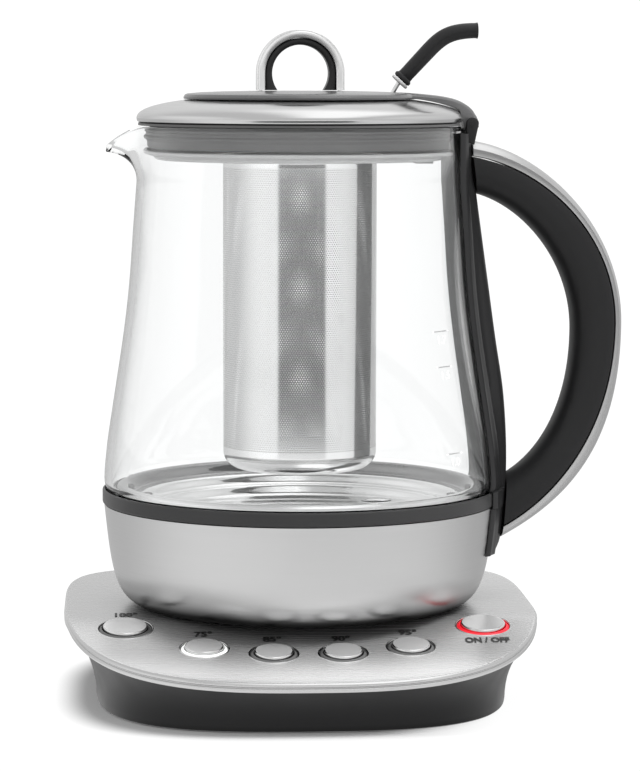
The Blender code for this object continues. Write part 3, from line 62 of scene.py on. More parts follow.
def applyModifier(piece, kind, name, **settings):
    modifier = piece.modifiers.new(name, kind)
    for key, value in settings.items():
        setattr(modifier, key, value)
    pick(piece)
    bpy.ops.object.modifier_apply(modifier=modifier.name)


def softenEdges(piece, width, segments=2, corner=plainCorner):
    applyModifier(piece, "BEVEL", "soft edges", width=width, segments=segments, limit_method="ANGLE",
                  angle_limit=math.radians(corner), harden_normals=False)


def cutWith(piece, cutter, operation="DIFFERENCE"):
    applyModifier(piece, "BOOLEAN", "cut", operation=operation, object=cutter, solver="EXACT")
    bpy.data.objects.remove(cutter, do_unlink=True)


def addProfile(name, outline, segments, closed=True):
    # A chain of (radius, height) points, extruded point by point and spun round the axis.
    clearSelection()
    first = outline[0]
    bpy.ops.mesh.primitive_plane_add(size=0.001, location=(first[0], 0.0, first[1]))
    piece = bpy.context.object
    piece.name = name
    bpy.ops.object.transform_apply(location=True, rotation=True, scale=True)
    bpy.ops.object.mode_set(mode="EDIT")
    bpy.ops.mesh.merge(type="CENTER")
    route = list(outline) + ([first] if closed else [])
    for before, after in zip(route, route[1:]):
        step = (after[0] - before[0], 0.0, after[1] - before[1])
        bpy.ops.mesh.extrude_region_move(TRANSFORM_OT_translate={"value": step})
    bpy.ops.mesh.select_all(action="SELECT")
    bpy.ops.mesh.spin(steps=segments, angle=math.tau, center=(0.0, 0.0, 0.0), axis=(0.0, 0.0, 1.0))
    bpy.ops.mesh.select_all(action="SELECT")
    bpy.ops.mesh.remove_doubles(threshold=0.000002)
    bpy.ops.mesh.normals_make_consistent(inside=False)
    bpy.ops.object.mode_set(mode="OBJECT")
    return piece


def addLoft(name, rings, wrap=False, capped=True):
    # Rings of equal counts of points, joined in order: for shapes whose section changes.
    build = bmesh.new()
    rows = [[build.verts.new(point) for point in ring] for ring in rings]
    pairs = list(zip(rows, rows[1:])) + ([(rows[-1], rows[0])] if wrap else [])
    for above, below in pairs:
        for index, corner in enumerate(above):
            follower = (index + 1) % len(above)
            build.faces.new((corner, below[index], below[follower], above[follower]))
    if capped and not wrap:
        build.faces.new(rows[0])
        build.faces.new(rows[-1])
    bmesh.ops.recalc_face_normals(build, faces=build.faces)
    mesh = bpy.data.meshes.new(name)
    build.to_mesh(mesh)
    build.free()
    piece = bpy.data.objects.new(name, mesh)
    bpy.context.scene.collection.objects.link(piece)
    return piece


def addBlock(name, low, high):
    clearSelection()
    middle = [(a + b) / 2.0 for a, b in zip(low, high)]
    bpy.ops.mesh.primitive_cube_add(size=1.0, location=middle)
    block = bpy.context.object
    block.name = name
    block.scale = [b - a for a, b in zip(low, high)]
    bpy.ops.object.transform_apply(location=True, rotation=True, scale=True)
    return block


def addBar(name, radius, start, end, sides):
    clearSelection()
    axis = Vector(end) - Vector(start)
    bpy.ops.mesh.primitive_cylinder_add(vertices=sides, radius=radius, depth=axis.length)
    bar = bpy.context.object
    bar.name = name
    turn = axis.to_track_quat("Z", "Y").to_matrix().to_4x4()
    bar.data.transform(Matrix.Translation((Vector(start) + Vector(end)) / 2.0) @ turn)
    return bar


def paintFaces(piece, first, second, isSecond):
    # Two finishes on one piece: the second goes on the faces that the test picks.
    piece.data.materials.append(first)
    piece.data.materials.append(second)
    for face in piece.data.polygons:
        face.material_index = 1 if isSecond(face) else 0


def facesAxis(face, least):
    return face.normal.dot(Vector((face.center.x, face.center.y, 0.0)).normalized()) < -least


def seat(piece, body, node, material, corner=plainCorner):
    # The finished piece is smoothed, and gets its place, material and body; the CAD node it stands for is hidden.
    if corner is not None:
        pick(piece)
        bpy.ops.object.shade_smooth_by_angle(angle=math.radians(corner))
    piece.data.transform(toAxis)
    if material is not None:
        piece.data.materials.clear()
        piece.data.materials.append(material)
    piece.data.update()
    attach(piece, body)
    if node is not None:
        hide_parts(node)


def bezierPoints(knot, handle, farHandle, farKnot, count):
    return [(p.x, p.y) for p in interpolate_bezier(knot, handle, farHandle, farKnot, count)]


def arc(centre, reach, start, end, steps):
    # Points of an arc between two angles in degrees; reach is (across, up).
    turns = [math.radians(start + (end - start) * step / steps) for step in range(steps + 1)]
    return [(centre[0] + reach[0] * math.cos(turn), centre[1] + reach[1] * math.sin(turn)) for turn in turns]


def bothSides(half):
    # (along, across) points down one side of a section and back up the other.
    back = [(along, across) for along, across in reversed(half) if across > 0.0]
    return [(along, -across) for along, across in half] + back


def smoothLine(points, steps):
    # A smooth curve through the points, with a number of steps between neighbours.
    dense = []
    for index in range(len(points) - 1):
        p1, p2 = Vector(points[index]), Vector(points[index + 1])
        p0 = Vector(points[index - 1]) if index else p1 * 2.0 - p2
        p3 = Vector(points[index + 2]) if index + 2 < len(points) else p2 * 2.0 - p1
        d1, d2, d3 = [max((b - a).length, 1e-9) ** 0.5 for a, b in ((p0, p1), (p1, p2), (p2, p3))]
        m1 = ((p1 - p0) / d1 - (p2 - p0) / (d1 + d2) + (p2 - p1) / d2) * d2
        m2 = ((p2 - p1) / d2 - (p3 - p1) / (d2 + d3) + (p3 - p2) / d3) * d2
        for step in range(steps):
            t = step / steps
            dense.append(p1 * (2 * t**3 - 3 * t**2 + 1) + m1 * (t**3 - 2 * t**2 + t)
                         + p2 * (3 * t**2 - 2 * t**3) + m2 * (t**3 - t**2))
    return dense + [Vector(points[-1])]


def valueAt(line, height):
    # First coordinate of a line of (value, height) points at a height.
    points = sorted(line, key=lambda point: point[1])
    if height <= points[0][1]:
        return points[0][0]
    for low, high in zip(points, points[1:]):
        if height <= high[1]:
            share = (height - low[1]) / max(high[1] - low[1], 1e-9)
            return low[0] + (high[0] - low[0]) * share
    return points[-1][0]


def ease(share):
    share = min(1.0, max(0.0, share))
    return share * share * (3.0 - 2.0 * share)


# Small helpers for materials

def rgba(colour):
    tones = (colour, colour, colour) if isinstance(colour, float) else colour
    return (*tones, 1.0)


def shaderOf(material):
    return material.node_tree.nodes["Principled BSDF"]


def newMaterial(name, colour, roughness, metallic=0.0, **sockets):
    material = bpy.data.materials.new(name)
    material.use_nodes = True
    values = {"Base Color": rgba(colour), "Roughness": roughness, "Metallic": metallic, **sockets}
    for key, value in values.items():
        shaderOf(material).inputs[key.replace("_", " ")].default_value = value
    return material


def node(owner, kind, inputs=None, **settings):
    made = owner.node_tree.nodes.new(kind)
    for key, value in settings.items():
        setattr(made, key, value)
    for key, value in (inputs or {}).items():
        if hasattr(value, "is_output"):
            owner.node_tree.links.new(value, made.inputs[key])
        else:
            made.inputs[key].default_value = value
    return made


def feed(material, socket, value):
    material.node_tree.links.new(value, shaderOf(material).inputs[socket])


def maths(owner, operation, *values):
    return node(owner, "ShaderNodeMath", dict(enumerate(values)), operation=operation).outputs[0]


def times(owner, first, second):
    return maths(owner, "MULTIPLY", first, second)


def blend(owner, share, amount, start):
    # start + share * amount
    return maths(owner, "MULTIPLY_ADD", share, amount, start)


def lengthOf(owner, x, y):
    return maths(owner, "SQRT", maths(owner, "ADD", times(owner, x, x), times(owner, y, y)))


def ramp(owner, value, low, high, **settings):
    values = {"Value": value, "From Min": low, "From Max": high}
    return node(owner, "ShaderNodeMapRange", values, **settings).outputs[0]


def softStep(owner, value, low, high):
    return ramp(owner, value, low, high, interpolation_type="SMOOTHSTEP")


def axisPlace(material):
    # Object coordinates measured from the jug's axis.
    where = node(material, "ShaderNodeTexCoord").outputs["Object"]
    return node(material, "ShaderNodeMapping", {"Vector": where, "Location": -jugAxis}).outputs[0]


def split(owner, vector):
    return node(owner, "ShaderNodeSeparateXYZ", {0: vector}).outputs


def roundPlace(material):
    # (radius, angle, height) about the jug's axis.
    x, y, z = split(material, axisPlace(material))
    return lengthOf(material, x, y), maths(material, "ARCTAN2", y, x), z


def joined(material, x, y, z):
    return node(material, "ShaderNodeCombineXYZ", {0: x, 1: y, 2: z}).outputs[0]


def noise(material, vector, scale, detail=2.0):
    values = {"Vector": vector, "Scale": scale, "Detail": detail}
    return node(material, "ShaderNodeTexNoise", values).outputs["Fac"]


def addBump(material, height, strength, distance):
    values = {"Height": height, "Strength": strength, "Distance": distance}
    feed(material, "Normal", node(material, "ShaderNodeBump", values).outputs[0])


def varyRoughness(material, texture, low, high):
    values = {"Value": texture, "From Min": 0.3, "From Max": 0.7, "To Min": low, "To Max": high}
    feed(material, "Roughness", node(material, "ShaderNodeMapRange", values).outputs[0])


def varyColour(material, share, first, second):
    mix = node(material, "ShaderNodeMix", {"Factor": share}, data_type="RGBA")
    mix.inputs["A"].default_value = rgba(first)
    mix.inputs["B"].default_value = rgba(second)
    feed(material, "Base Color", mix.outputs["Result"])


# Materials

steelTones = {"round": 0.60, "flat": 0.63, "plate": 0.71, "polished": 0.72, "strip": 0.54, "hoop": 0.88}


def makeRoundBrushed(name, roughness, anisotropy, tone, strength):
    # Steel brushed round the jug's axis.
    lineScale, lengthScale = 2600.0, 2.2
    steel = newMaterial(name, steelTones[tone], roughness, 1.0, Anisotropic=anisotropy)
    radius, angle, height = roundPlace(steel)
    vector = joined(steel, times(steel, radius, lineScale), times(steel, angle, lengthScale),
                    times(steel, height, lineScale))
    lines = noise(steel, vector, 1.0, 3.0)
    addBump(steel, lines, strength, 0.0002)
    varyRoughness(steel, lines, roughness - 0.05, roughness + 0.07)
    feed(steel, "Tangent", node(steel, "ShaderNodeTangent", direction_type="RADIAL", axis="Z").outputs[0])
    return steel


def paintFootShade(steel, low, high):
    # Painted shade: the steel is coloured dark where it curls under the jug, a little later right at the front, as a
    # painted reflection of the shaded gap beneath.
    radius, angle, height = roundPlace(steel)
    front = softStep(steel, times(steel, maths(steel, "SINE", angle), -1.0), 0.88, 0.99)
    height = blend(steel, front, 0.0024, height)
    varyColour(steel, softStep(steel, height, low, high), 0.012, steelTones["round"])


def makeFlatBrushed(name, roughness, scale, strength, tone="flat", metallic=1.0, spread=0.08):
    # Steel brushed in straight lines along X.
    steel = newMaterial(name, steelTones[tone], roughness, metallic)
    vector = node(steel, "ShaderNodeMapping", {"Vector": axisPlace(steel), "Scale": scale}).outputs[0]
    lines = noise(steel, vector, 1.0, 3.0)
    addBump(steel, lines, strength, 0.0002)
    varyRoughness(steel, lines, roughness - spread, roughness + spread)
    return steel


# Tones of the painted reflections on the base plate
plateReflectionPaint = {"level": 0.50, "slope": 0.08, "slopeFrom": (0.030, 0.050), "front": 0.40, "frontFrom": (0.066, 0.094),
         "sector": -2.00, "inner": 0.10, "outer": 0.42, "depth": 0.14}


def paintPlateReflections(steel):
    # Painted reflections: darker on the level part, brighter down the slope, with a darker sector left of the middle.
    radius, angle, height = roundPlace(steel)
    forward = times(steel, times(steel, radius, maths(steel, "SINE", angle)), -1.0)
    tone = blend(steel, softStep(steel, forward, *plateReflectionPaint["slopeFrom"]), plateReflectionPaint["slope"], plateReflectionPaint["level"])
    tone = blend(steel, softStep(steel, forward, *plateReflectionPaint["frontFrom"]), plateReflectionPaint["front"], tone)
    off = maths(steel, "ABSOLUTE", maths(steel, "SUBTRACT", angle, plateReflectionPaint["sector"]))
    sector = blend(steel, softStep(steel, off, plateReflectionPaint["outer"], plateReflectionPaint["inner"]), -plateReflectionPaint["depth"], 1.0)
    tone = times(steel, tone, sector)
    feed(steel, "Base Color", joined(steel, tone, tone, tone))


def makePolished(name, roughness, tone="polished"):
    steel = newMaterial(name, steelTones[tone], roughness, 1.0)
    smear = noise(steel, axisPlace(steel), 90.0)
    varyRoughness(steel, smear, roughness * 0.75, roughness * 1.3)
    return steel


def makePlastic(name, colour, roughness, grain=1800.0, strength=0.08, coat=0.0, shine=0.30):
    plastic = newMaterial(name, colour, roughness, Coat_Weight=coat, Coat_Roughness=0.15,
                          Specular_IOR_Level=shine)
    addBump(plastic, noise(plastic, axisPlace(plastic), grain), strength, 0.0001)
    varyRoughness(plastic, noise(plastic, axisPlace(plastic), 60.0, 3.0), roughness - 0.03, roughness + 0.05)
    return plastic


def makeSkirtPlastic(colour, low, high):
    # Painted shade: the skirt is coloured black along its foot, for the contact shadow there.
    plastic = makePlastic("skirtPlastic", colour, 0.38, 1500.0, 0.05, shine=0.20)
    varyColour(plastic, softStep(plastic, roundPlace(plastic)[2], low, high), 0.001, colour)
    return plastic


def shadeFloor(steel):
    # Painted shade: the raised border of the jug's floor is coloured darker at the back and the sides.
    radius, angle, height = roundPlace(steel)
    back = times(steel, radius, maths(steel, "SINE", angle))
    border = times(steel, softStep(steel, radius, 0.0620, 0.0650), softStep(steel, back, -0.045, -0.010))
    varyColour(steel, border, 0.82, 0.30)


def makeLiner():
    # Lining on the side towards the glass, with painted shade: coloured pale where faced and dark at a slant, so it
    # looks dark through the glass and pale in reflections.
    liner = makePlastic("linerPlastic", 0.30, 0.45)
    slant = node(liner, "ShaderNodeLayerWeight", {"Blend": 0.5}).outputs["Facing"]
    varyColour(liner, ramp(liner, slant, 0.30, 0.75), 0.85, 0.03)
    return liner


def makeGlass():
    # Its colour is darker at its edges, as painted shade for the dark edges of real glass; the thin beak bends light
    # less than the thick wall.
    bend, beakBend, beakClear = 1.46, -0.38, -0.6
    clear = newMaterial("jugGlass", (0.985, 0.992, 0.992), 0.0, Transmission_Weight=1.0, IOR=bend)
    facing = node(clear, "ShaderNodeLayerWeight", {"Blend": 0.5}).outputs["Facing"]
    x, y, z = split(clear, axisPlace(clear))
    beak = times(clear, softStep(clear, x, -0.0610, -0.0660), softStep(clear, z, 0.1980, 0.2060))
    edge = times(clear, maths(clear, "POWER", facing, 5.0), blend(clear, beak, beakClear, 1.0))
    varyColour(clear, edge, (0.985, 0.990, 0.990), (0.72, 0.73, 0.73))
    feed(clear, "IOR", blend(clear, beak, beakBend, bend))
    return clear


def makeGlow(name, colour, strength):
    return newMaterial(name, colour, 0.4, Emission_Color=rgba(colour), Emission_Strength=strength)


def makePrint(name, tone):
    ink = newMaterial(name, tone, 0.5)
    addBump(ink, noise(ink, axisPlace(ink), 2500.0), 0.05, 0.00005)
    return ink


def makeMeshSteel(name, tone, roughness):
    # Perforated steel: rows of round holes laid out on the wrap map, which is in metres.
    pitch, rowPitch, holeShare, lowEnd, highEnd = 0.00095, 0.866, 0.25, 0.0953, 0.2035
    steel = newMaterial(name, tone, roughness, 1.0)
    u, v, w = split(steel, node(steel, "ShaderNodeUVMap", uv_map="wrap").outputs[0])
    across = maths(steel, "DIVIDE", u, pitch)
    up = maths(steel, "DIVIDE", v, pitch * rowPitch)
    shift = times(steel, maths(steel, "MODULO", maths(steel, "FLOOR", up), 2.0), 0.5)
    cellX = maths(steel, "SUBTRACT", maths(steel, "FRACT", maths(steel, "ADD", across, shift)), 0.5)
    cellY = times(steel, maths(steel, "SUBTRACT", maths(steel, "FRACT", up), 0.5), rowPitch)
    hole = maths(steel, "LESS_THAN", lengthOf(steel, cellX, cellY), holeShare)
    inside = times(steel, maths(steel, "GREATER_THAN", v, lowEnd), maths(steel, "LESS_THAN", v, highEnd))
    feed(steel, "Alpha", maths(steel, "SUBTRACT", 1.0, times(steel, hole, inside)))
    return steel


linerPlastic = makeLiner()
shellSteel = makeRoundBrushed("shellSteel", 0.33, 0.60, "round", 0.010)
paintFootShade(shellSteel, 0.0356, 0.0440)
domeSteel = makeRoundBrushed("domeSteel", 0.17, 0.60, "round", 0.012)
plateSteel = makeFlatBrushed("plateSteel", 0.27, (10.0, 1300.0, 160.0), 0.010, "plate", 0.66, 0.015)
paintPlateReflections(plateSteel)
rimSteel = makePolished("rimSteel", 0.17, "round")
stripSteel = makeFlatBrushed("stripSteel", 0.30, (60.0, 1500.0, 60.0), 0.005, "strip", 0.95, 0.02)
capSteel = makeFlatBrushed("capSteel", 0.20, (30.0, 2000.0, 300.0), 0.014, "plate", 0.60, 0.02)
chrome = makePolished("chrome", 0.07)
floorSteel = makeRoundBrushed("floorSteel", 0.06, 0.20, "polished", 0.015)
shadeFloor(floorSteel)
hoopSteel = makePolished("hoopSteel", 0.18, "hoop")
meshSteel = makeMeshSteel("meshSteel", 0.97, 0.12)
# The same perforated steel for the faces towards the axis, coloured a little darker as painted shade.
meshInner = makeMeshSteel("meshInner", 0.85, 0.35)
brassMetal = makePolished("brassMetal", 0.22)
shaderOf(brassMetal).inputs["Base Color"].default_value = (0.70, 0.52, 0.24, 1.0)
castAluminium = makeFlatBrushed("castAluminium", 0.42, (700.0, 700.0, 700.0), 0.2)
blackPlastic = makePlastic("blackPlastic", (0.014, 0.014, 0.0145), 0.36)
bandPlastic = makePlastic("bandPlastic", (0.030, 0.030, 0.0305), 0.36)
gripPlastic = makePlastic("gripPlastic", (0.014, 0.014, 0.0145), 0.42, shine=0.24)
capPlastic = makePlastic("capPlastic", (0.085, 0.085, 0.086), 0.26, 1500.0, 0.03, 0.25, 0.5)
skirtPlastic = makeSkirtPlastic((0.0105, 0.0105, 0.011), 0.0008, 0.0030)
undersidePlastic = makePlastic("undersidePlastic", 0.09, 0.40)
greyPlastic = makePlastic("greyPlastic", 0.50, 0.35, 1200.0, 0.03)
boardGreen = makePlastic("boardGreen", (0.03, 0.15, 0.06), 0.45, 400.0, 0.1)
sealRubber = makePlastic("sealRubber", 0.25, 0.45, 900.0, 0.05)
footRubber = makePlastic("footRubber", 0.03, 0.70, 900.0, 0.15)
clearSilicone = makePlastic("clearSilicone", 0.94, 0.40, 900.0, 0.04)
jugGlass = makeGlass()
redGlow = makeGlow("redGlow", (0.78, 0.015, 0.03), 0.30)
whiteGlow = makeGlow("whiteGlow", (0.92, 0.93, 0.92), 0.15)
dimRing = makePlastic("dimRing", 0.11, 0.30, 900.0, 0.03)
darkPrint = makePrint("darkPrint", 0.02)
palePrint = makePrint("palePrint", 0.90)
print("materials made:", len(bpy.data.materials))


# Base: outline and panel

base = {"halfWidth": 0.0909, "halfDepth": 0.0958, "forward": 0.0050, "aside": 0.0006, "frontPower": 2.75,
        "backPower": 5.0, "seatHeight": 0.0337, "seatRadius": 0.0600, "slope": math.radians(11.6),
        "crease": 0.0372, "blend": 0.0040, "bore": 0.0240, "innerRing": 0.0330, "bendRings": (0.0400, 0.0500),
        "rimWidth": 0.0018, "rimHeight": 0.0040, "rimSquash": 0.89, "sheet": 0.0010, "steps": 180}


def baseOutline(count):
    ring = []
    for step in range(count):
        angle = math.tau * step / count
        east, north = math.cos(angle), math.sin(angle)
        power = base["backPower"] if north > 0.0 else base["frontPower"]
        across, along = abs(east / base["halfWidth"]) ** power, abs(north / base["halfDepth"]) ** power
        reach = (across + along) ** (-1.0 / power)
        ring.append(Vector((reach * east - base["aside"], reach * north - base["forward"])))
    return ring


def evenOutline(count):
    # The same outline with its points evenly spaced along it.
    fine = baseOutline(count * 8)
    lengths = [0.0]
    for before, after in zip(fine, fine[1:] + fine[:1]):
        lengths.append(lengths[-1] + (after - before).length)
    ring, index = [], 0
    for step in range(count):
        target = lengths[-1] * step / count
        while lengths[index + 1] < target:
            index += 1
        share = (target - lengths[index]) / max(lengths[index + 1] - lengths[index], 1e-12)
        ring.append(fine[index].lerp(fine[(index + 1) % len(fine)], share))
    return ring


def panelHeight(y):
    # Level behind the crease, a straight slope in front of it, and a short bend between.
    past, half = -y - base["crease"], base["blend"]
    if past < -half:
        return base["seatHeight"]
    if past < half:
        return base["seatHeight"] - math.tan(base["slope"]) * (past + half) ** 2 / (4.0 * half)
    return base["seatHeight"] - math.tan(base["slope"]) * past


outlineNow = evenOutline(base["steps"])
outwardNow = []
for before, after in zip(outlineNow[-1:] + outlineNow[:-1], outlineNow[1:] + outlineNow[:1]):
    along = (after - before).normalized()
    outwardNow.append(Vector((along.y, -along.x)))
rimStart = [point - out * base["rimWidth"] for point, out in zip(outlineNow, outwardNow)]


def onPanel(place, drop):
    return Vector((place.x, place.y, panelHeight(place.y) - drop))


def edgeRing(inset, drop):
    return [Vector((*(point - out * inset), panelHeight(start.y) - drop))
            for point, out, start in zip(outlineNow, outwardNow, rimStart)]


def seatRing(radius, drop):
    return [Vector((*(point.normalized() * radius), base["seatHeight"] - drop)) for point in rimStart]


def levelRing(radius, drop):
    # A round ring that follows the bend of the panel.
    return [onPanel(point.normalized() * radius, drop) for point in rimStart]


def slopeRing(share, drop):
    return [onPanel((point.normalized() * base["seatRadius"]).lerp(point, share), drop) for point in rimStart]


def middleRings(drop, bends):
    rings = [seatRing(base["bore"], drop), seatRing(base["innerRing"], drop)]
    return rings + [levelRing(radius, drop) for radius in bends]


# Buttons: turn from the front in degrees, reach from the jug's axis and radius
buttons = {"100": (-55.6, 0.0817, 0.00835), "75": (-30.0, 0.0767, 0.00715), "85": (-10.1, 0.0731, 0.00715),
           "90": (10.1, 0.0731, 0.00715), "95": (30.0, 0.0767, 0.00715), "power": (55.6, 0.0817, 0.00835)}
buttonSizes = {"wellGap": 0.0019, "wellDepth": 0.0032, "cutHigh": 0.0040, "cutLow": 0.0040, "proud": 0.0014,
               "skirt": 0.0021, "edge": 0.00055, "stem": 0.0030, "stemDepth": 0.0090, "cupBore": 0.0036}


def buttonFrame(name):
    turn, reach, radius = buttons[name]
    place = Vector((math.sin(math.radians(turn)), -math.cos(math.radians(turn)), 0.0)) * reach
    place.x -= base["aside"]
    place.z = panelHeight(place.y)
    normal = Vector((0.0, -math.tan(base["slope"]), 1.0)).normalized()
    return Matrix.Translation(place) @ normal.to_track_quat("Z", "Y").to_matrix().to_4x4()


def wellRadius(name):
    return buttons[name][2] + buttonSizes["wellGap"]


def cutButtonHoles(piece, depth, sides):
    for name in buttons:
        hole = addBar("hole", wellRadius(name), (0.0, 0.0, -depth), (0.0, 0.0, buttonSizes["cutHigh"]), sides)
        hole.data.transform(buttonFrame(name))
        cutWith(piece, hole)


# The rolled two-step rim: (inset, drop) from the outline and the panel
rimSection = [(0.00180, 0.00000), (0.00140, 0.00002), (0.00085, 0.00014), (0.00038, 0.00045), (0.00010, 0.00090),
              (0.00006, 0.00135), (0.00022, 0.00178), (0.00050, 0.00205), (0.00072, 0.00222), (0.00072, 0.00238),
              (0.00050, 0.00252), (0.00022, 0.00285), (0.00012, 0.00330), (0.00020, 0.00380), (0.00048, 0.00425),
              (0.00090, 0.00449), (0.00140, 0.00450), (0.00180, 0.00430)]
plateShares = (0.0, 0.08, 0.18, 0.28, 0.38, 0.48, 0.58, 0.68, 0.78, 0.88, 0.96)


def makeBasePlate():
    sheet = base["sheet"]
    rings = middleRings(0.0, base["bendRings"]) + [slopeRing(share, 0.0) for share in plateShares]
    rings += [edgeRing(inset, drop * base["rimSquash"]) for inset, drop in rimSection]
    rings += [edgeRing(base["rimWidth"], sheet)] + [slopeRing(share, sheet) for share in reversed(plateShares)]
    rings += reversed(middleRings(sheet, base["bendRings"]))
    plate = addLoft("basePlate", rings, wrap=True)
    cutButtonHoles(plate, buttonSizes["cutLow"], 64)
    paintFaces(plate, plateSteel, rimSteel, lambda face: face.normal.z < 0.93)
    seat(plate, "base", "base_top_plate", None, 28)


skirt = {"topInset": 0.0022, "topGap": 0.0003, "ledgeDrop": 0.0042, "footInset": 0.0123, "footHeight": 0.0003,
         "curve": 2.2, "wall": 0.0022, "deckGap": 0.0006, "deck": 0.0030,
         "outside": (1.0, 0.94, 0.85, 0.74, 0.62, 0.5, 0.38, 0.26, 0.15, 0.06), "inside": (0.0, 0.4, 0.8),
         "deckShares": (0.0, 0.2, 0.4, 0.6, 0.8, 0.96), "underShares": (0.8, 0.4, 0.0)}


def skirtRing(share, extra):
    flare = 1.0 - share ** skirt["curve"]
    inset = skirt["topInset"] + (skirt["footInset"] - skirt["topInset"]) * flare + extra
    ring = []
    for point, out, start in zip(outlineNow, outwardNow, rimStart):
        top = panelHeight(start.y) - base["rimHeight"] - skirt["topGap"]
        place = point - out * inset
        ring.append(Vector((place.x, place.y, skirt["footHeight"] + share * (top - skirt["footHeight"]))))
    return ring


def makeBaseBody():
    top = base["sheet"] + skirt["deckGap"]
    under = top + skirt["deck"]
    rings = middleRings(top, base["bendRings"]) + [slopeRing(share, top) for share in skirt["deckShares"]]
    rings += [edgeRing(skirt["topInset"], skirt["ledgeDrop"])]
    rings += [skirtRing(share, 0.0) for share in skirt["outside"]]
    rings += [skirtRing(0.02, 0.0002), skirtRing(0.0, 0.0008)]
    rings += [skirtRing(share, skirt["wall"]) for share in skirt["inside"]]
    rings += [slopeRing(share, under) for share in skirt["underShares"]]
    rings += reversed(middleRings(under, base["bendRings"][:1]))
    body = addLoft("baseBody", rings, wrap=True)
    cutButtonHoles(body, buttonSizes["wellDepth"] + buttonSizes["cutLow"], 48)
    seat(body, "base", "base_body_shell", skirtPlastic, 30)


def makeButtonWells():
    # Thin bright edge round each hole, and the dark cup under it.
    edge = [(0.00040, 0.00002), (0.00026, 0.00014), (0.00008, 0.00018), (-0.00008, 0.00010),
            (-0.00014, -0.00006), (-0.00014, -0.00030), (0.00040, -0.00030)]
    lip, cupTop, floorThick = 0.00010, -0.00034, 0.0012
    bore, depth = buttonSizes["cupBore"], -buttonSizes["wellDepth"]
    for name in buttons:
        outer = wellRadius(name)
        rim = addProfile("wellRim" + name.capitalize(), [(outer + out, up) for out, up in edge], 72)
        rim.data.transform(buttonFrame(name))
        seat(rim, "base", None, chrome, 60)
        outline = [(outer - lip, cupTop), (outer - lip, depth - floorThick), (bore, depth - floorThick),
                   (bore, depth + lip), (outer - 3.0 * lip, depth + lip), (outer - 3.0 * lip, cupTop)]
        cup = addProfile("wellCup" + name.capitalize(), outline, 64)
        cup.data.transform(buttonFrame(name))
        seat(cup, "base", None, blackPlastic)


def makeButtonCaps():
    proud, edge, skirtLow = buttonSizes["proud"], buttonSizes["edge"], -buttonSizes["skirt"]
    stem, stemLow = buttonSizes["stem"], -buttonSizes["stemDepth"]
    for name in buttons:
        radius = buttons[name][2]
        outline = [(0.0, proud + 0.00006), (radius * 0.5, proud + 0.00004), (radius - edge - 0.0003, proud)]
        outline += arc((radius - edge, proud - edge), (edge, edge), 90, 0, 6)
        outline += [(radius, -0.0012), (radius - 0.0001, skirtLow), (stem, skirtLow), (stem, stemLow),
                    (0.0, stemLow)]
        button = addProfile("buttonCap" + name.capitalize(), outline, 72, closed=False)
        paintFaces(button, capSteel, chrome, lambda face: face.normal.z <= 0.985)
        button.data.transform(buttonFrame(name))
        seat(button, "button_" + name, "button_" + name, None, 40)


def makeLightRings():
    # Each ring slopes up to its button, so that its near side shows.
    innerGap, outerGap, low = 0.00045, 0.00035, 0.0003 - buttonSizes["wellDepth"]
    finishes = {"power": redGlow, "75": whiteGlow}
    for name in buttons:
        inner, outer = buttons[name][2] + innerGap, wellRadius(name) - outerGap
        outline = [(inner, 0.00030), (inner + 0.00020, 0.00042), (outer - 0.00020, -0.00020), (outer, -0.00040),
                   (outer, low), (inner, low)]
        ring = addProfile("lightRing" + name.capitalize(), outline, 72)
        ring.data.transform(buttonFrame(name))
        seat(ring, "base", "light_ring_" + name, finishes.get(name, dimRing), 50)


def addWords(name, words, size, stretch, thicker=0.0):
    # Text lying flat about the origin, as a thin mesh.
    clearSelection()
    bpy.ops.object.text_add()
    text = bpy.context.object.data
    text.body, text.size, text.extrude, text.offset = words, size, 0.00002, size * thicker
    text.align_x, text.align_y, text.resolution_u = "CENTER", "CENTER", 4
    bpy.ops.object.convert(target="MESH")
    letters = bpy.context.object
    letters.name = name
    letters.data.transform(Matrix.Diagonal((stretch, 1.0, 1.0, 1.0)))
    return letters


number = {"size": 0.0064, "stretch": 0.78, "behind": 0.0062, "ahead": 0.0150, "lift": 0.00020, "thicker": 0.040,
          "onOffStretch": 0.62, "hundredBack": 0.0042, "hundredTall": 1.5}


def makePanelNumbers():
    for name in buttons:
        words, stretch, reach = name + "°", number["stretch"], buttons[name][2] + number["behind"]
        if name == "power":
            words, stretch, reach = "ON / OFF", number["onOffStretch"], -number["ahead"]
        letters = addWords("number" + name.capitalize(), words, number["size"], stretch, number["thicker"])
        if name == "100":
            # It lies on the level part, seen at a low angle, so it stands further back and taller.
            reach += number["hundredBack"]
            letters.data.transform(Matrix.Diagonal((1.0, number["hundredTall"], 1.0, 1.0)))
        place = buttonFrame(name).translation + Vector((0.0, reach, 0.0))
        for vertex in letters.data.vertices:
            x, y = place.x + vertex.co.x, place.y + vertex.co.y
            vertex.co = Vector((x, y, panelHeight(y) + number["lift"] + vertex.co.z))
        seat(letters, "base", None, darkPrint, None)


makeBasePlate()
makeBaseBody()
makeButtonWells()
makeButtonCaps()
makeLightRings()
makePanelNumbers()
print("base made")


# Jug

shell = {"bottom": 0.0340, "footRadius": 0.0570, "holeRadius": 0.0520, "footReach": 0.0150, "bellyRadius": 0.0730,
         "bellyHeight": 0.0460, "topRadius": 0.0759, "topHeight": 0.0735, "sheet": 0.0008}
band = {"outer": 0.0765, "lip": 0.0756, "ledge": 0.0705, "height": 0.0054, "gap": 0.0003, "step": 0.0016,
        "edge": 0.0007}
bandLow = shell["topHeight"] + band["gap"]
bandHigh = bandLow + band["height"]


def shellLine(count):
    foot, bottom = shell["footRadius"], shell["bottom"]
    return bezierPoints((foot, bottom), (foot + shell["footReach"], bottom),
                        (shell["bellyRadius"], shell["bellyHeight"]), (shell["topRadius"], shell["topHeight"]),
                        count)


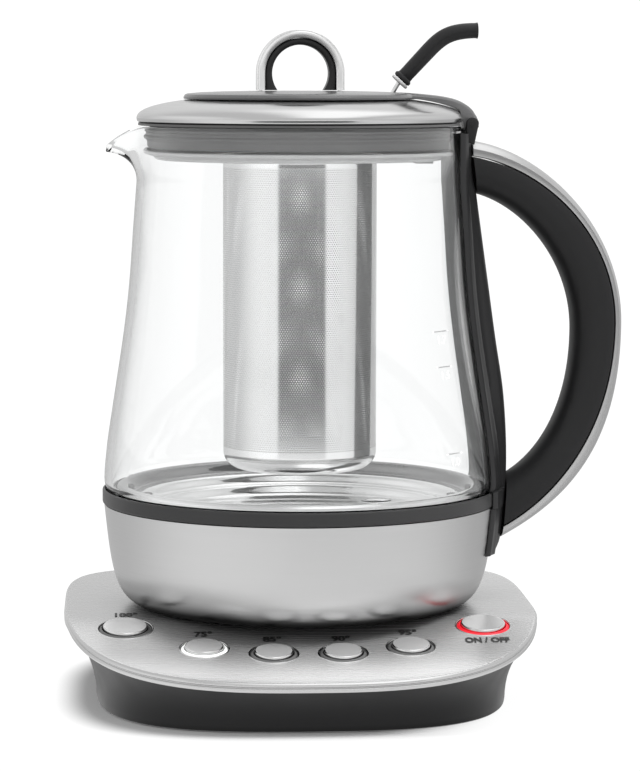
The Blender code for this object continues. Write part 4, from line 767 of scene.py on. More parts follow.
def makeShell():
    sheet, bottom = shell["sheet"], shell["bottom"]
    outline = [(shell["topRadius"] - sheet, shell["topHeight"])] + list(reversed(shellLine(28)))
    outline += [(shell["holeRadius"], bottom), (shell["holeRadius"], bottom + sheet),
                (shell["footRadius"], bottom + sheet)]
    outline += [(radius - sheet, height) for radius, height in shellLine(12)[2:-1]]
    seat(addProfile("steelShell", outline, 160), "jug", "steel_shell", shellSteel, 40)


def makeBand():
    edge, side, step = band["edge"], band["outer"] - band["edge"], bandLow + band["step"]
    outline = [(band["lip"], bandHigh)] + arc((side, bandHigh - edge), (edge, edge), 90, 0, 6)
    outline += arc((side, bandLow + edge), (edge, edge), 0, -90, 6)
    outline += [(band["ledge"], bandLow), (band["ledge"], step), (band["lip"], step)]
    seat(addProfile("bandRing", outline, 160), "jug", "band_ring", bandPlastic, 40)


# The floor's steps as shares of the way out and up, and the sensor's cap as (radius, height)
floor = {"low": 0.0682, "depth": 0.0123, "flat": 0.0508, "edge": 0.0711, "sheet": 0.0008,
         "sensor": (0.0324, 0.0277), "sensorLift": 0.0011}
floorSteps = [(1.00, 0.92), (0.96, 0.99), (0.92, 1.00), (0.86, 1.00), (0.80, 0.97), (0.76, 0.90), (0.70, 0.70),
              (0.66, 0.65), (0.62, 0.635), (0.52, 0.625), (0.48, 0.60), (0.44, 0.54), (0.38, 0.37), (0.34, 0.33),
              (0.30, 0.315), (0.23, 0.31), (0.19, 0.285), (0.15, 0.20), (0.09, 0.05), (0.05, 0.01), (0.00, 0.00)]
sensorSection = [(0.0, 0.0010), (0.0036, 0.0010), (0.0041, 0.0007), (0.0050, 0.0006), (0.0058, 0.0005),
                 (0.0062, 0.0), (0.0028, 0.0), (0.0028, -0.0070), (0.0, -0.0070)]


def makeFloor():
    low, sheet = floor["low"], floor["sheet"]
    rows = smoothLine([(floor["flat"] + out * (floor["edge"] - floor["flat"]), low + sheet + up * floor["depth"])
                       for out, up in floorSteps], 3)
    outline = [(0.0, low)] + [(radius, height - sheet) for radius, height in reversed(rows)]
    outline += rows + [(0.0, low + sheet)]
    piece = addProfile("steelFloor", outline, 128, closed=False)
    seat(piece, "jug", "steel_floor", floorSteel, 50)
    head = low + floor["sensorLift"]
    sensor = addProfile("sensorCap", [(radius, head + up) for radius, up in sensorSection], 48, closed=False)
    sensor.data.transform(Matrix.Translation((*floor["sensor"], 0.0)))
    seat(sensor, "jug", "temperature_sensor", chrome, 50)


glassLine = [(0.0744, 0.0772), (0.0750, 0.0794), (0.0757, 0.0819), (0.0748, 0.0950), (0.0722, 0.1128),
             (0.0681, 0.1396), (0.0659, 0.1584), (0.0642, 0.1812), (0.0629, 0.1980)]
glass = {"wall": 0.0028, "neckHeight": 0.1980, "neckRadius": 0.0629, "rimRadius": 0.0620, "rimTop": 0.2190,
         "spoutRadius": 0.0746, "spoutHeight": 0.2090, "halfTurn": math.radians(27), "radiusPower": 2.0,
         "heightPower": 1.6, "spoutPower": 1.8, "steps": 180, "spoutSteps": 60, "neckRings": 22, "edge": 0.0009}
glassDense = smoothLine(glassLine, 8)


def glassNeckRing(share, angles):
    # The neck goes straight up, and turns into the beak within the spout's half turn.
    neckRadius, neckHeight = glass["neckRadius"], glass["neckHeight"]
    plainRadius = neckRadius + (glass["rimRadius"] - neckRadius) * ease(share)
    plainHeight = neckHeight + (glass["rimTop"] - neckHeight) * share
    beakRadius = neckRadius + (glass["spoutRadius"] - neckRadius) * share ** glass["radiusPower"]
    beakRise = 1.0 - (1.0 - share) ** glass["heightPower"]
    beakHeight = neckHeight + (glass["spoutHeight"] - neckHeight) * beakRise
    ring = []
    for angle in angles:
        turn = abs(math.remainder(angle - math.pi, math.tau)) / glass["halfTurn"]
        spout = math.cos(turn * math.pi / 2.0) ** 2 if turn < 1.0 else 0.0
        radius = plainRadius + (beakRadius - plainRadius) * spout
        height = plainHeight + (beakHeight - plainHeight) * spout ** glass["spoutPower"]
        ring.append(Vector((radius * math.cos(angle), radius * math.sin(angle), height)))
    return ring


def makeGlassJug():
    half, near, neckRings = glass["halfTurn"], glass["spoutSteps"], glass["neckRings"]
    rest = glass["steps"] - near
    angles = [math.pi - half + 2.0 * half * step / near for step in range(near)]
    angles += [math.pi + half + (math.tau - 2.0 * half) * step / rest for step in range(rest)]
    rings = [glassNeckRing(step / neckRings, angles) for step in range(neckRings, 0, -1)]
    for point in reversed(smoothLine(glassLine, 6)):
        rings.append([Vector((point.x * math.cos(a), point.x * math.sin(a), point.y)) for a in angles])
    piece = addLoft("glassJug", rings, capped=False)
    first = piece.data.polygons[0]
    if first.normal.dot(first.center) < 0.0:
        piece.data.flip_normals()
    applyModifier(piece, "SOLIDIFY", "wall", thickness=glass["wall"], offset=-1.0, use_even_offset=True)
    softenEdges(piece, glass["edge"], 3, 60)
    seat(piece, "jug", "glass_jug", jugGlass, 60)


marks = {"heights": {"1.0": 0.0945, "1.5": 0.1268, "1.7": 0.1400}, "turn": math.radians(-42), "size": 0.0042,
         "stretch": 1.15, "lift": 0.00004, "bar": ((-0.0050, 0.0030, -0.00002), (0.0050, 0.0034, 0.00002))}


def makeVolumeMarks():
    # Pale printed marks on the right of the glass, each a number with a bar over it.
    for text, height in marks["heights"].items():
        letters = addWords("mark" + text.replace(".", "_"), text, marks["size"], marks["stretch"])
        bar = addBlock("bar", *marks["bar"])
        pick(letters)
        bar.select_set(True)
        bpy.ops.object.join()
        for vertex in letters.data.vertices:
            z = height + vertex.co.y
            radius = valueAt(glassDense, z) + marks["lift"] + vertex.co.z
            angle = marks["turn"] + vertex.co.x / radius
            vertex.co = Vector((radius * math.cos(angle), radius * math.sin(angle), z))
        seat(letters, "jug", None, palePrint, None)


# Handle: the spine hugs band and glass, with a block down its middle that carries the grip
spineLine = [(0.0756, 0.0546), (0.0776, 0.0592), (0.0799, 0.0858), (0.0788, 0.1144), (0.0752, 0.1391),
             (0.0678, 0.1914), (0.0658, 0.2071), (0.0657, 0.2200)]
spine = {"halfTurn": math.radians(19), "wing": 0.0016, "top": 0.2163, "gap": 0.0003, "fade": math.radians(1.2),
         "ridge": 0.0009, "ridgeAt": 0.0165, "ridgeWidth": 0.0022, "blockHalf": 0.0070, "blockFade": 0.0065,
         "rows": 90, "columns": 30, "earInner": 0.01108, "earWidth": 0.0030, "earRadius": 0.0024}
earFoot = [(0.0629, 0.2160), (0.0627, 0.2135), (0.0660, 0.2120), (0.0668, 0.2160)]
hingePlace = (0.0653, 0.2201)
spineBlock = smoothLine(spineLine, 8)


def spineInner(height):
    gap = spine["gap"]
    if height > glass["neckHeight"]:
        return glass["neckRadius"] + gap
    if height > bandHigh + gap:
        return valueAt(glassDense, height) + gap
    if height >= bandLow - 2.0 * gap:
        return band["outer"] + gap
    return valueAt(shellLine(28), height) + gap


def spineRing(height):
    inner, block, halfTurn = spineInner(height), valueAt(spineBlock, height), spine["halfTurn"]
    near, far = [], []
    for step in range(spine["columns"] + 1):
        turn = halfTurn * (1.0 - 2.0 * step / spine["columns"])
        near.append(Vector((inner * math.cos(turn), inner * math.sin(turn), height)))
        across = abs((inner + spine["wing"]) * math.sin(turn))
        thick = spine["gap"] + (spine["wing"] - spine["gap"]) * ease((halfTurn - abs(turn)) / spine["fade"])
        ridge = spine["ridge"] * math.exp(-((across - spine["ridgeAt"]) / spine["ridgeWidth"]) ** 2)
        outer = inner + thick + ridge
        reach = outer * math.cos(turn)
        raised = max(0.0, block - reach) * (1.0 - ease((across - spine["blockHalf"]) / spine["blockFade"]))
        far.append(Vector((reach + raised, -outer * math.sin(turn), height)))
    return near + far


def makeSpine():
    foot, top, gap = spineLine[0][1], spine["top"], spine["gap"]
    heights = {foot + (top - foot) * step / spine["rows"] for step in range(spine["rows"] + 1)}
    heights |= {bandLow - 3.0 * gap, bandLow - 2.0 * gap, bandHigh + gap, bandHigh + 2.0 * gap}
    piece = addLoft("handleSpine", [spineRing(height) for height in sorted(heights, reverse=True)])
    radius, inner = spine["earRadius"], spine["earInner"]
    outline = arc(hingePlace, (radius, radius), 0, 180, 24) + earFoot
    for side in (-1.0, 1.0):
        ear = addLoft("ear", [[Vector((x, side * y, z)) for x, z in outline]
                              for y in (inner, inner + spine["earWidth"])])
        softenEdges(ear, 0.0004)
        cutWith(piece, ear, "UNION")
    paintFaces(piece, blackPlastic, linerPlastic, lambda face: facesAxis(face, 0.9))
    seat(piece, "jug", "handle_spine", None, 40)


# Each curve of the grip: top and foot heights on the spine, the far point, and how its handles lean
handleCurves = {
    "strip": {"top": 0.2134, "far": (0.1246, 0.1433), "foot": 0.0596, "leans": (0.47, 0.05, 0.53, 0.56, 0.60, 0.18)},
    "groove": {"top": 0.2072, "far": (0.1213, 0.1433), "foot": 0.0647, "leans": (0.47, 0.06, 0.55, 0.49, 0.53, 0.16)},
    "grip": {"top": 0.1930, "far": (0.1052, 0.1405), "foot": 0.0842, "leans": (0.52, 0.10, 0.48, 0.48, 0.61, 0.16)}}
handle = {"steps": 34, "gap": 0.0003, "stripHalf": 0.0105, "gripHalf": 0.0110}
stripSection = [(0.00, 0.90), (0.06, 0.955), (0.30, 0.985), (0.50, 0.99), (0.56, 0.965), (0.72, 0.86),
                (0.86, 0.74), (0.95, 0.60), (0.99, 0.38), (1.00, 0.0)]
gripSection = [(0.00, 0.0), (0.015, 0.25), (0.05, 0.48), (0.11, 0.68), (0.20, 0.84), (0.32, 0.95), (0.46, 1.0),
               (0.62, 1.0), (0.80, 0.99), (0.93, 0.975), (0.985, 0.95), (1.00, 0.91)]


def handleCurve(name):
    curve, steps = handleCurves[name], handle["steps"]
    top, (farX, farZ), foot, leans = curve["top"], curve["far"], curve["foot"], curve["leans"]
    topX, footX = (valueAt(spineBlock, height) + handle["gap"] for height in (top, foot))
    out, down, back, fall = farX - topX, top - farZ, farX - footX, farZ - foot
    upper = bezierPoints((topX, top), (topX + out * leans[0], top - down * leans[1]),
                         (farX, farZ + down * leans[2]), (farX, farZ), steps)
    lower = bezierPoints((farX, farZ), (farX, farZ - fall * leans[3]),
                         (footX + back * leans[4], foot + fall * leans[5]), (footX, foot), steps)
    return [Vector(point) for point in upper + lower[1:]]


def handleLoft(name, inner, outer, section, half, gap):
    rings = []
    for near, far in zip(inner, outer):
        start = near + (far - near).normalized() * gap
        places = [(start + (far - start) * along, side) for along, side in bothSides(section)]
        rings.append([Vector((place.x, side * half, place.y)) for place, side in places])
    return addLoft(name, rings)


def makeHandle():
    strip, groove, grip = [handleCurve(name) for name in ("strip", "groove", "grip")]
    piece = handleLoft("handleStrip", groove, strip, stripSection, handle["stripHalf"], handle["gap"])
    seat(piece, "jug", "handle_strip", stripSteel, 24)
    piece = handleLoft("handleGrip", grip, groove, gripSection, handle["gripHalf"], 0.0)
    seat(piece, "jug", "handle_grip", gripPlastic, 40)


teaFilter = {"radius": 0.0296, "sheet": 0.0006, "rim": 0.0326, "rimHeight": 0.2074, "edge": 0.0004,
             "meshLow": 0.0935, "meshHigh": 0.2035, "bendHeight": 0.0932, "bendRadius": 0.0085, "bendDepth": 0.0068}


def makeFilter():
    radius, sheet, rim, rimHeight = (teaFilter[key] for key in ("radius", "sheet", "rim", "rimHeight"))
    low, high, edge = teaFilter["meshLow"], teaFilter["meshHigh"], teaFilter["edge"]
    wide, deep = teaFilter["bendRadius"], teaFilter["bendDepth"]
    bend = (radius - wide, teaFilter["bendHeight"])
    outline = [(rim, rimHeight + sheet), (rim, rimHeight), (radius + edge, rimHeight), (radius, rimHeight - edge),
               (radius, high), (radius, low)]
    outline += arc(bend, (wide, deep), 0, -90, 10)[1:] + [(0.0, bend[1] - deep), (0.0, bend[1] - deep + sheet)]
    outline += arc(bend, (wide - sheet, deep - sheet), -90, 0, 10)[:-1]
    outline += [(radius - sheet, low), (radius - sheet, high), (radius - sheet, rimHeight + sheet)]
    piece = addProfile("filterBasket", outline, 144)
    paintFaces(piece, meshSteel, meshInner, lambda face: facesAxis(face, 0.7))
    wrap = piece.data.uv_layers.new(name="wrap")
    for face in piece.data.polygons:
        middle = math.atan2(face.center.y, face.center.x)
        for loop in face.loop_indices:
            place = piece.data.vertices[piece.data.loops[loop].vertex_index].co
            angle = middle + math.remainder(math.atan2(place.y, place.x) - middle, math.tau)
            wrap.data[loop].uv = (angle * radius, place.z)
    seat(piece, "jug", "filter_basket", None, 50)


collar = {"outer": 0.0591, "foot": 0.0545, "top": 0.2094, "low": 0.2062, "wall": 0.0015, "bore": 0.0299,
          "web": 0.0014, "ledge": 0.2071, "tab": ((0.0440, -0.0050, 0.2046), (0.0512, 0.0050, 0.2061))}


def makeCollar():
    outer, foot, top, low = (collar[key] for key in ("outer", "foot", "top", "low"))
    wall, bore, web, ledge = (collar[key] for key in ("wall", "bore", "web", "ledge"))
    outline = [(outer - wall, top), (outer - 0.0003, top), (outer, top - 0.0003), (outer - 0.0002, top - 0.0012),
               (foot + 0.0004, low + 0.0008), (foot, low), (foot - 0.0010, low - 0.0002), (bore, ledge - web),
               (bore, ledge), (outer - 2.0 * wall, ledge + 0.0003)]
    seat(addProfile("filterCollar", outline, 144), "jug", "filter_collar", clearSilicone)
    tab = addBlock("collarTab", *collar["tab"])
    softenEdges(tab, 0.0004)
    seat(tab, "jug", None, clearSilicone)


makeShell()
makeBand()
makeFloor()
makeGlassJug()
makeVolumeMarks()
makeSpine()
makeHandle()
makeFilter()
makeCollar()
print("jug made")


# Lid

lid = {"crownRadius": 0.0440, "crownHeight": 0.2290, "edgeRadius": 0.0628, "edgeHeight": 0.2222,
       "lipHeight": 0.2205, "lipReturn": 0.0008, "innerRadius": 0.0300, "crownHandle": 0.0110,
       "edgeHandle": 0.0033, "sheet": 0.0008, "notch": ((0.0602, -0.0149, 0.2050), (0.0700, 0.0149, 0.2400))}
domeLine = bezierPoints((lid["crownRadius"], lid["crownHeight"]),
                        (lid["crownRadius"] + lid["crownHandle"], lid["crownHeight"] - lid["crownHandle"] / 8.0),
                        (lid["edgeRadius"], lid["edgeHeight"] + lid["edgeHandle"]),
                        (lid["edgeRadius"], lid["edgeHeight"]), 22)


def makeDome():
    sheet, lip, edge = lid["sheet"], lid["lipHeight"], lid["edgeRadius"]
    lipEdge = edge - lid["lipReturn"]
    outer = [(lid["innerRadius"], lid["crownHeight"])] + domeLine
    outer += [(edge, lip + 0.0011), (edge - 0.0002, lip + 0.0004), (lipEdge, lip)]
    inner = [(lipEdge - 0.0006, lip + 0.0003), (edge - sheet, lip + 0.0009)]
    trios = list(zip([outer[0]] + domeLine, domeLine, domeLine[1:] + [outer[-3]]))
    for before, point, after in reversed(trios):
        along = (Vector(after) - Vector(before)).normalized()
        inner.append((point[0] + along.y * sheet, point[1] - along.x * sheet))
    inner.append((lid["innerRadius"], lid["crownHeight"] - sheet))
    piece = addProfile("lidDome", outer + inner, 160)
    cutWith(piece, addBlock("notch", *lid["notch"]))
    seat(piece, "lid", "lid_dome", domeSteel, 40)


cap = {"radius": 0.0448, "top": 0.2324, "low": 0.2293, "sag": 0.0009, "sagShares": (0.25, 0.5, 0.7, 0.85),
       "edge": [(0.0016, 0.0010), (0.0007, 0.0013), (0.0002, 0.0019), (0.0, 0.0024)],
       "slotLow": 0.0320, "slotHigh": 0.0388, "slotHalf": 0.0015}
tail = {"start": 0.0330, "startHalf": 0.0160, "endHalf": 0.0090, "barrel": 0.0031, "edgeShare": 0.80,
        "edgeDrop": 0.0011, "edgePower": 2.2, "gap": 0.0004,
        "upper": [(0.0376, 0.23195), (0.0469, 0.2313), (0.0551, 0.2303), (0.0606, 0.2288), (0.0652, 0.2259),
                  (0.0674, 0.2229)],
        "lower": (0.0606, 0.0590, 0.0570, 0.0545, 0.0520, 0.0490, 0.0465, 0.0445),
        "across": (-1.0, -0.985, -0.94, -0.86, -0.5, 0.0, 0.5, 0.86, 0.94, 0.985, 1.0)}


def makeCap():
    low, top, radius, half = cap["low"], cap["top"], cap["radius"], cap["slotHalf"]
    outline = [(0.0, top)] + [(radius * share, top - cap["sag"] * share ** 3) for share in cap["sagShares"]]
    outline += [(radius - inset, top - drop) for inset, drop in cap["edge"]]
    outline += [(radius - 0.0001, low + 0.0001), (radius - 0.0004, low), (0.0, low)]
    piece = addProfile("lidCap", outline, 160, closed=False)
    cutWith(piece, addBlock("slot", (cap["slotLow"], -half, low - 0.002), (cap["slotHigh"], half, top + 0.002)))
    seat(piece, "lid", "lid_cap", capPlastic, 30)


def makeTail():
    # From the cap down over the dome's edge to a barrel round the hinge pin.
    upper = smoothLine(tail["upper"], 5)
    barrel = arc(hingePlace, (tail["barrel"], tail["barrel"]), 15, -165, 16)
    domeHeights = [(height, radius) for radius, height in domeLine]
    lower = [(reach, valueAt(domeHeights, reach) + tail["gap"]) for reach in tail["lower"]]
    outline = upper[1:] + barrel + lower + [(tail["upper"][0][0], cap["low"] + tail["gap"])]
    run = hingePlace[0] + tail["barrel"] - tail["start"]
    rings = []
    for share in tail["across"]:
        away = max(0.0, (abs(share) - tail["edgeShare"]) / (1.0 - tail["edgeShare"]))
        ring = []
        for index, (x, z) in enumerate(outline):
            half = tail["startHalf"] + (tail["endHalf"] - tail["startHalf"]) * (x - tail["start"]) / run
            sink = tail["edgeDrop"] * away ** tail["edgePower"] if index < len(upper) + 2 else 0.0
            ring.append(Vector((x - sink * 0.6 * ease((x - 0.060) / 0.007), share * half, z - sink)))
        rings.append(ring)
    seat(addLoft("lidTail", rings), "lid", None, capPlastic, 42)


plug = {"radius": 0.0546, "low": 0.2102, "wall": 0.0016, "flange": 0.0622, "flangeLow": 0.2193,
        "flangeTop": 0.2202, "bead": 0.0006, "rings": (0.0460, 0.0450, 0.0300, 0.0290), "ringDepth": 0.0005}
seal = {"outer": 0.0578, "top": 0.2190, "inner": 0.0548, "ribDrops": (0.0016, 0.0045)}
ribSection = [(0.0, 0.0010), (0.0006, 0.0006), (0.0010, 0.0002), (0.0010, -0.0002), (0.0006, -0.0006),
              (0.0, -0.0009)]


def makeUnderside():
    radius, low, wall, bead, top = (plug[key] for key in ("radius", "low", "wall", "bead", "flangeTop"))
    outline = [(0.0, low + wall), (radius - wall, low + wall), (radius - wall, top), (plug["flange"], top),
               (plug["flange"], plug["flangeLow"]), (radius, plug["flangeLow"]), (radius, low + bead),
               (radius - bead, low)]
    lifts = (0.0, plug["ringDepth"], plug["ringDepth"], 0.0)
    outline += [(ring, low + lift) for ring, lift in zip(plug["rings"], lifts)] + [(0.0, low)]
    piece = addProfile("lidUnderside", outline, 128, closed=False)
    cutWith(piece, addBlock("notch", *lid["notch"]))
    seat(piece, "lid", "lid_underside", undersidePlastic)


def makeSeal():
    outer, top, inner, low = seal["outer"], seal["top"], seal["inner"], plug["low"]
    outline = [(inner, top), (outer - 0.0003, top), (outer, top - 0.0003)]
    for drop in seal["ribDrops"]:
        outline += [(outer + out, top - drop + up) for out, up in ribSection]
    outline += [(outer - 0.0005, top - 0.0062), (outer - 0.0006, low + 0.0006), (outer - 0.0012, low), (inner, low)]
    seat(addProfile("lidSeal", outline, 144), "lid", "lid_seal", sealRubber, 45)


hoop = {"outer": 0.0168, "thick": 0.0032, "half": 0.0062, "top": 0.2559, "foot": 0.2327, "hole": 0.0109,
        "insertHalf": 0.0052, "gap": 0.0001, "arcSteps": 56, "insertSteps": 48, "legSteps": 7}
hoopSection = [(1.00, 0.0), (1.00, 0.90), (0.985, 0.945), (0.93, 0.965), (0.86, 0.965), (0.84, 0.940),
               (0.80, 0.940), (0.78, 0.965), (0.70, 0.985), (0.40, 0.990), (0.10, 0.975), (0.03, 0.940),
               (0.0, 0.88), (0.0, 0.0)]
insertSection = [(0.0, 0.0), (0.0, 0.78), (0.05, 0.90), (0.20, 1.0), (0.80, 1.0), (0.95, 0.90), (1.0, 0.78),
                 (1.0, 0.0)]


def makeHoop():
    # A steel arch on straight legs, whose section keeps its size.
    centre, foot = hoop["top"] - hoop["outer"], hoop["foot"]
    inner = hoop["outer"] - hoop["thick"]
    legs = [((1.0, 0.0), foot), ((1.0, 0.0), (foot + centre) / 2.0)]
    stations = legs + [(way, centre) for way in arc((0.0, 0.0), (1.0, 1.0), 0, 180, hoop["arcSteps"])]
    stations += [((-1.0, 0.0), height) for way, height in reversed(legs)]
    points = [(inner + hoop["thick"] * along, across * hoop["half"]) for along, across in bothSides(hoopSection)]
    rings = [[Vector((way[0] * radius, y, height + way[1] * radius)) for radius, y in points]
             for way, height in stations]
    seat(addLoft("hoopSteel", rings), "lid", "hoop_steel", hoopSteel, 20)


def makeHoopInsert():
    # Fills the arch round a round hole, so its legs widen towards the foot.
    centre, foot, hole, steps = hoop["top"] - hoop["outer"], hoop["foot"], hoop["hole"], hoop["legSteps"]
    outer = hoop["outer"] - hoop["thick"] - hoop["gap"]
    legs = []
    for step in range(steps):
        height = foot + (centre - foot) * step / steps
        legs.append(((math.sqrt(hole ** 2 - (centre - height) ** 2), height), (outer, height)))
    stations = legs + [((hole * x, centre + hole * z), (outer * x, centre + outer * z))
                       for x, z in arc((0.0, 0.0), (1.0, 1.0), 0, 180, hoop["insertSteps"])]
    stations += [((-near[0], near[1]), (-far[0], far[1])) for near, far in reversed(legs)]
    rings = [[Vector((near[0] + (far[0] - near[0]) * along, across * hoop["insertHalf"],
                      near[1] + (far[1] - near[1]) * along)) for along, across in bothSides(insertSection)]
             for near, far in stations]
    seat(addLoft("hoopInsert", rings), "lid", "hoop_insert", blackPlastic, 60)


lever = {"rodLean": math.radians(56), "headLean": math.radians(47), "pivot": (0.0346, 0.0, 0.2306),
         "rodLength": 0.0056, "rodRadius": 0.00085, "washerRadius": 0.0037, "washer": 0.0012, "flange": 0.0016,
         "straight": 0.0135, "bend": 0.0080, "end": (0.0690, 0.0, 0.2556), "endBend": 0.0110, "thick": 0.0029,
         "belly": 0.0002, "wide": 0.0033, "endThick": 0.0031, "endWide": 0.0034}
flangeSection = [(0.0, 0.0031), (0.0003, 0.0036), (0.0012, 0.0037), (0.0016, 0.0034), (0.0019, 0.0030)]


def roundRing(centre, axis, thick, wide, sides=28):
    across = Vector((0.0, 1.0, 0.0))
    lift = axis.cross(across).normalized()
    turns = [math.tau * step / sides for step in range(sides)]
    return [centre + across * wide * math.cos(turn) + lift * thick * math.sin(turn) for turn in turns]


def makeLever():
    rodLean, headLean, pivot = lever["rodLean"], lever["headLean"], Vector(lever["pivot"])
    head = pivot + Vector((math.cos(rodLean), 0.0, math.sin(rodLean))) * lever["rodLength"]
    axis = Vector((math.cos(headLean), 0.0, math.sin(headLean)))
    rod = addBar("leverRod", lever["rodRadius"], pivot - Vector((0.0, 0.0, 0.0006)), head + axis * 0.0004, 20)
    softenEdges(rod, 0.0001, 1)
    seat(rod, "lever", "lever_rod", chrome)
    low = head + axis * (0.0003 + lever["rodRadius"] * math.sin(rodLean - headLean))
    washer = addBar("leverWasher", lever["washerRadius"], low, low + axis * lever["washer"], 40)
    softenEdges(washer, 0.0004, 3)
    seat(washer, "lever", "lever_washer", greyPlastic)
    start = low + axis * (lever["washer"] + 0.0002)
    rings = [roundRing(start + axis * along, axis, radius, radius) for along, radius in flangeSection]
    gripStart, end = start + axis * lever["flange"], Vector(lever["end"])
    knee = gripStart + axis * lever["straight"]
    path = [gripStart.lerp(knee, step / 9) for step in range(9)]
    path += interpolate_bezier(knee, knee + axis * lever["bend"], end - Vector((lever["endBend"], 0.0, 0.0)),
                               end, 22)
    for index, place in enumerate(path[1:-1], 1):
        along = (path[index + 1] - path[index - 1]).normalized()
        thick = lever["thick"] + lever["belly"] * math.sin(math.pi * index / len(path))
        rings.append(roundRing(place, along, thick, lever["wide"]))
    last = (path[-1] - path[-2]).normalized()
    for step in range(7):
        angle = math.pi / 2.0 * step / 6
        swell = (1.0 + 0.06 * math.sin(angle * 2.0)) * (0.55 + 0.45 * math.cos(angle))
        place = path[-1] + last * (0.0004 * math.sin(angle) - 0.0008)
        rings.append(roundRing(place, last, lever["endThick"] * swell, lever["endWide"] * swell))
    seat(addLoft("leverGrip", rings), "lever", "lever_grip", gripPlastic, 50)


makeDome()
makeCap()
makeTail()
makeUnderside()
makeSeal()
makeHoop()
makeHoopInsert()
makeLever()
print("lid made")


# CAD nodes that stay, with their own finishes

nodeFinishes = {
    "base_bottom_cover": skirtPlastic, "control_board": boardGreen, "base_connector": blackPlastic,
    "contact_ring": brassMetal, "contact_pin": brassMetal, "cord_gland": footRubber, "glass_gasket": clearSilicone,
    "heat_plate": castAluminium, "heating_element": chrome, "jug_socket": blackPlastic,
    "socket_contact": brassMetal, "jug_bottom_cover": blackPlastic, "hinge_pin": blackPlastic, "lever_pin": chrome,
    "handle_screw_upper": chrome, "handle_screw_lower": chrome, "lid_screw_left": chrome, "lid_screw_right": chrome}
for corner in ("front_left", "front_right", "back_left", "back_right"):
    nodeFinishes["rubber_foot_" + corner] = footRubber
    nodeFinishes["base_screw_" + corner] = chrome
for name, finish in nodeFinishes.items():
    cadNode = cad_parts[name]
    cadNode.data.materials.clear()
    cadNode.data.materials.append(finish)
print("frame dressed")


# Floor, light and camera

stage = {"matt": 0.58, "glow": 1.06, "tone": 0.58, "frontTone": 0.40, "leftTone": 0.10, "patchTone": -0.80,
         "patchFront": (0.800, 0.840), "patchNear": (0.50, 0.60), "patchFar": (12.0, 7.0), "shadowPower": 3.0,
         "shadow": (0.89, 1.08), "plainSide": (0.020, 0.075), "plainShare": 0.80, "leastShare": 0.05}
white = (1.0, 1.0, 1.0, 1.0)


def seenDirectly(owner):
    # 1 for rays that reach the stage from the camera, straight or through the glass, with no reflection before.
    path = node(owner, "ShaderNodeLightPath").outputs
    clear = times(owner, path["Is Transmission Ray"], maths(owner, "LESS_THAN", path["Glossy Depth"], 0.5))
    clear = times(owner, clear, maths(owner, "LESS_THAN", path["Diffuse Depth"], 0.5))
    return maths(owner, "MAXIMUM", path["Is Camera Ray"], clear)


def mixShaders(owner, share, first, second):
    return node(owner, "ShaderNodeMixShader", {0: share, 1: first.outputs[0], 2: second.outputs[0]})


def mirroredTone(pale, x, y):
    # What the steel reflects: lighter in front and on the left, with a dark patch towards the camera.
    away = lengthOf(pale, x, y)
    front, left = [maths(pale, "DIVIDE", times(pale, side, -1.0), away) for side in (y, x)]
    patch = times(pale, softStep(pale, front, *stage["patchFront"]), softStep(pale, away, *stage["patchNear"]))
    patch = times(pale, patch, softStep(pale, away, *stage["patchFar"]))
    tone = blend(pale, softStep(pale, front, -0.5, 0.6), stage["frontTone"], stage["tone"])
    tone = blend(pale, softStep(pale, left, -0.2, 0.8), stage["leftTone"], tone)
    return times(pale, tone, blend(pale, patch, stage["patchTone"], 1.0))


def plainShare(pale, x, y):
    # Close round the base the floor keeps its shadow; further out, and on the side of the light, it is plain.
    power = stage["shadowPower"]
    wide, deep = [maths(pale, "POWER", maths(pale, "DIVIDE", maths(pale, "ABSOLUTE", way), half), power)
                  for way, half in ((x, base["halfWidth"]),
                                    (maths(pale, "ADD", y, base["forward"]), base["halfDepth"]))]
    beside = maths(pale, "POWER", maths(pale, "ADD", wide, deep), 1.0 / power)
    least = blend(pale, softStep(pale, x, *stage["plainSide"]), stage["plainShare"], stage["leastShare"])
    return maths(pale, "MAXIMUM", softStep(pale, beside, *stage["shadow"]), least)


def makeFloorStage():
    clearSelection()
    bpy.ops.mesh.primitive_plane_add(size=60.0)
    ground = bpy.context.object
    ground.name = "stageFloor"
    pale = bpy.data.materials.new("stagePale")
    pale.use_nodes = True
    pale.node_tree.nodes.clear()
    x, y, z = split(pale, axisPlace(pale))
    matt = node(pale, "ShaderNodeBsdfDiffuse", {"Color": rgba(stage["matt"])})
    glow = node(pale, "ShaderNodeEmission", {"Color": white, "Strength": stage["glow"]})
    mirrored = node(pale, "ShaderNodeEmission", {"Color": white, "Strength": mirroredTone(pale, x, y)})
    path = node(pale, "ShaderNodeLightPath").outputs
    plain = mixShaders(pale, maths(pale, "GREATER_THAN", path["Glossy Depth"], 0.5), matt, mirrored)
    mix = mixShaders(pale, times(pale, seenDirectly(pale), plainShare(pale, x, y)), plain, glow)
    node(pale, "ShaderNodeOutputMaterial", {"Surface": mix.outputs[0]})
    ground.data.materials.append(pale)


studio = {"all": 0.62, "above": 0.15, "left": 0.36, "right": 0.22, "behind": 0.14, "overhead": 0.85,
          "panelSide": 0.22, "front": 0.45, "seen": 1.05}


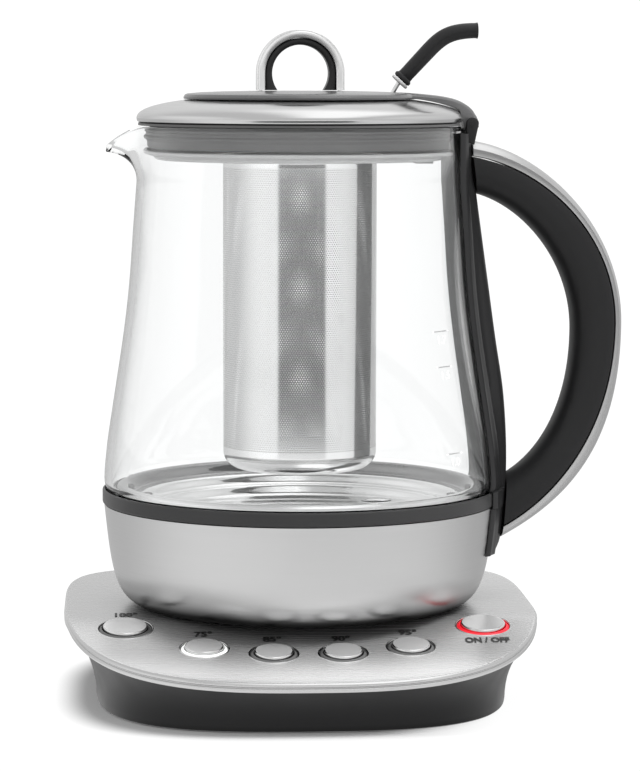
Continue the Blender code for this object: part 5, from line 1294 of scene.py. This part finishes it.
def makeWorld():
    # A soft studio room: a bright panel overhead, lighter sides and back.
    world = bpy.data.worlds.new("studio")
    bpy.context.scene.world = world
    world.use_nodes = True
    world.node_tree.nodes.clear()
    side, back, up = split(world, node(world, "ShaderNodeTexCoord").outputs["Generated"])
    light = blend(world, softStep(world, up, 0.10, 0.50), studio["above"], studio["all"])
    light = blend(world, softStep(world, times(world, side, -1.0), 0.55, 0.95), studio["left"], light)
    light = blend(world, softStep(world, side, 0.55, 0.95), studio["right"], light)
    light = blend(world, softStep(world, back, 0.45, 0.90), studio["behind"], light)
    offMiddle = maths(world, "ABSOLUTE", maths(world, "SUBTRACT", side, studio["panelSide"]))
    panel = times(world, softStep(world, up, 0.55, 0.85), softStep(world, offMiddle, 0.42, 0.12))
    light = blend(world, panel, studio["overhead"], light)
    low = times(world, softStep(world, up, 0.35, 0.10), softStep(world, back, -0.5, -0.9))
    light = blend(world, low, studio["front"], light)
    room = node(world, "ShaderNodeBackground", {"Color": white, "Strength": light})
    seen = node(world, "ShaderNodeBackground", {"Color": white, "Strength": studio["seen"]})
    mix = mixShaders(world, seenDirectly(world), room, seen)
    node(world, "ShaderNodeOutputWorld", {"Surface": mix.outputs[0]})


lamps = {
    "keyRight": {"place": (0.90, -0.45, 1.40), "aim": (0.0, 0.0, 0.08), "size": 0.6, "power": 24.0},
    "fillLeft": {"place": (-1.10, -0.70, 0.90), "aim": (0.0, 0.0, 0.10), "size": 1.0, "power": 4.0},
    "top": {"place": (0.10, 0.10, 1.60), "aim": (0.0, 0.0, 0.10), "size": 1.2, "power": 6.0}}


def makeLamps():
    for name, lamp in lamps.items():
        light = bpy.data.lights.new(name, "AREA")
        light.shape = "RECTANGLE"
        light.size = light.size_y = lamp["size"]
        light.energy = lamp["power"]
        holder = bpy.data.objects.new(name, light)
        bpy.context.scene.collection.objects.link(holder)
        holder.visible_glossy = False
        holder.visible_transmission = False
        holder.location = Vector(lamp["place"]) + jugAxis
        aim = Vector(lamp["aim"]) + jugAxis
        holder.rotation_euler = (aim - holder.location).to_track_quat("-Z", "Y").to_euler()


cameraView = {"distance": 1.253, "height": 0.2441, "azimuth": math.radians(3.2), "tilt": math.radians(5.72),
              "yaw": math.radians(0.36), "roll": math.radians(0.10), "lens": 151.6, "sensor": 36.0}


def makeCamera():
    camera = bpy.data.cameras.new("photoCamera")
    camera.sensor_width, camera.lens = cameraView["sensor"], cameraView["lens"]
    camera.clip_start, camera.clip_end = 0.05, 100.0
    holder = bpy.data.objects.new("photoCamera", camera)
    bpy.context.scene.collection.objects.link(holder)
    azimuth = cameraView["azimuth"]
    place = Vector((-math.sin(azimuth), -math.cos(azimuth), 0.0)) * cameraView["distance"]
    place.z = cameraView["height"]
    holder.location = place + jugAxis
    heading = math.atan2(-place.x, -place.y)
    look = Matrix.Rotation(-heading - cameraView["yaw"], 4, "Z") @ Matrix.Rotation(
        math.pi / 2.0 - cameraView["tilt"], 4, "X") @ Matrix.Rotation(cameraView["roll"], 4, "Z")
    holder.rotation_euler = look.to_euler()
    bpy.context.scene.camera = holder


makeFloorStage()
makeWorld()
makeLamps()
makeCamera()
bpy.context.scene.view_settings.view_transform = "Standard"
print("stage, lamps and camera ready")
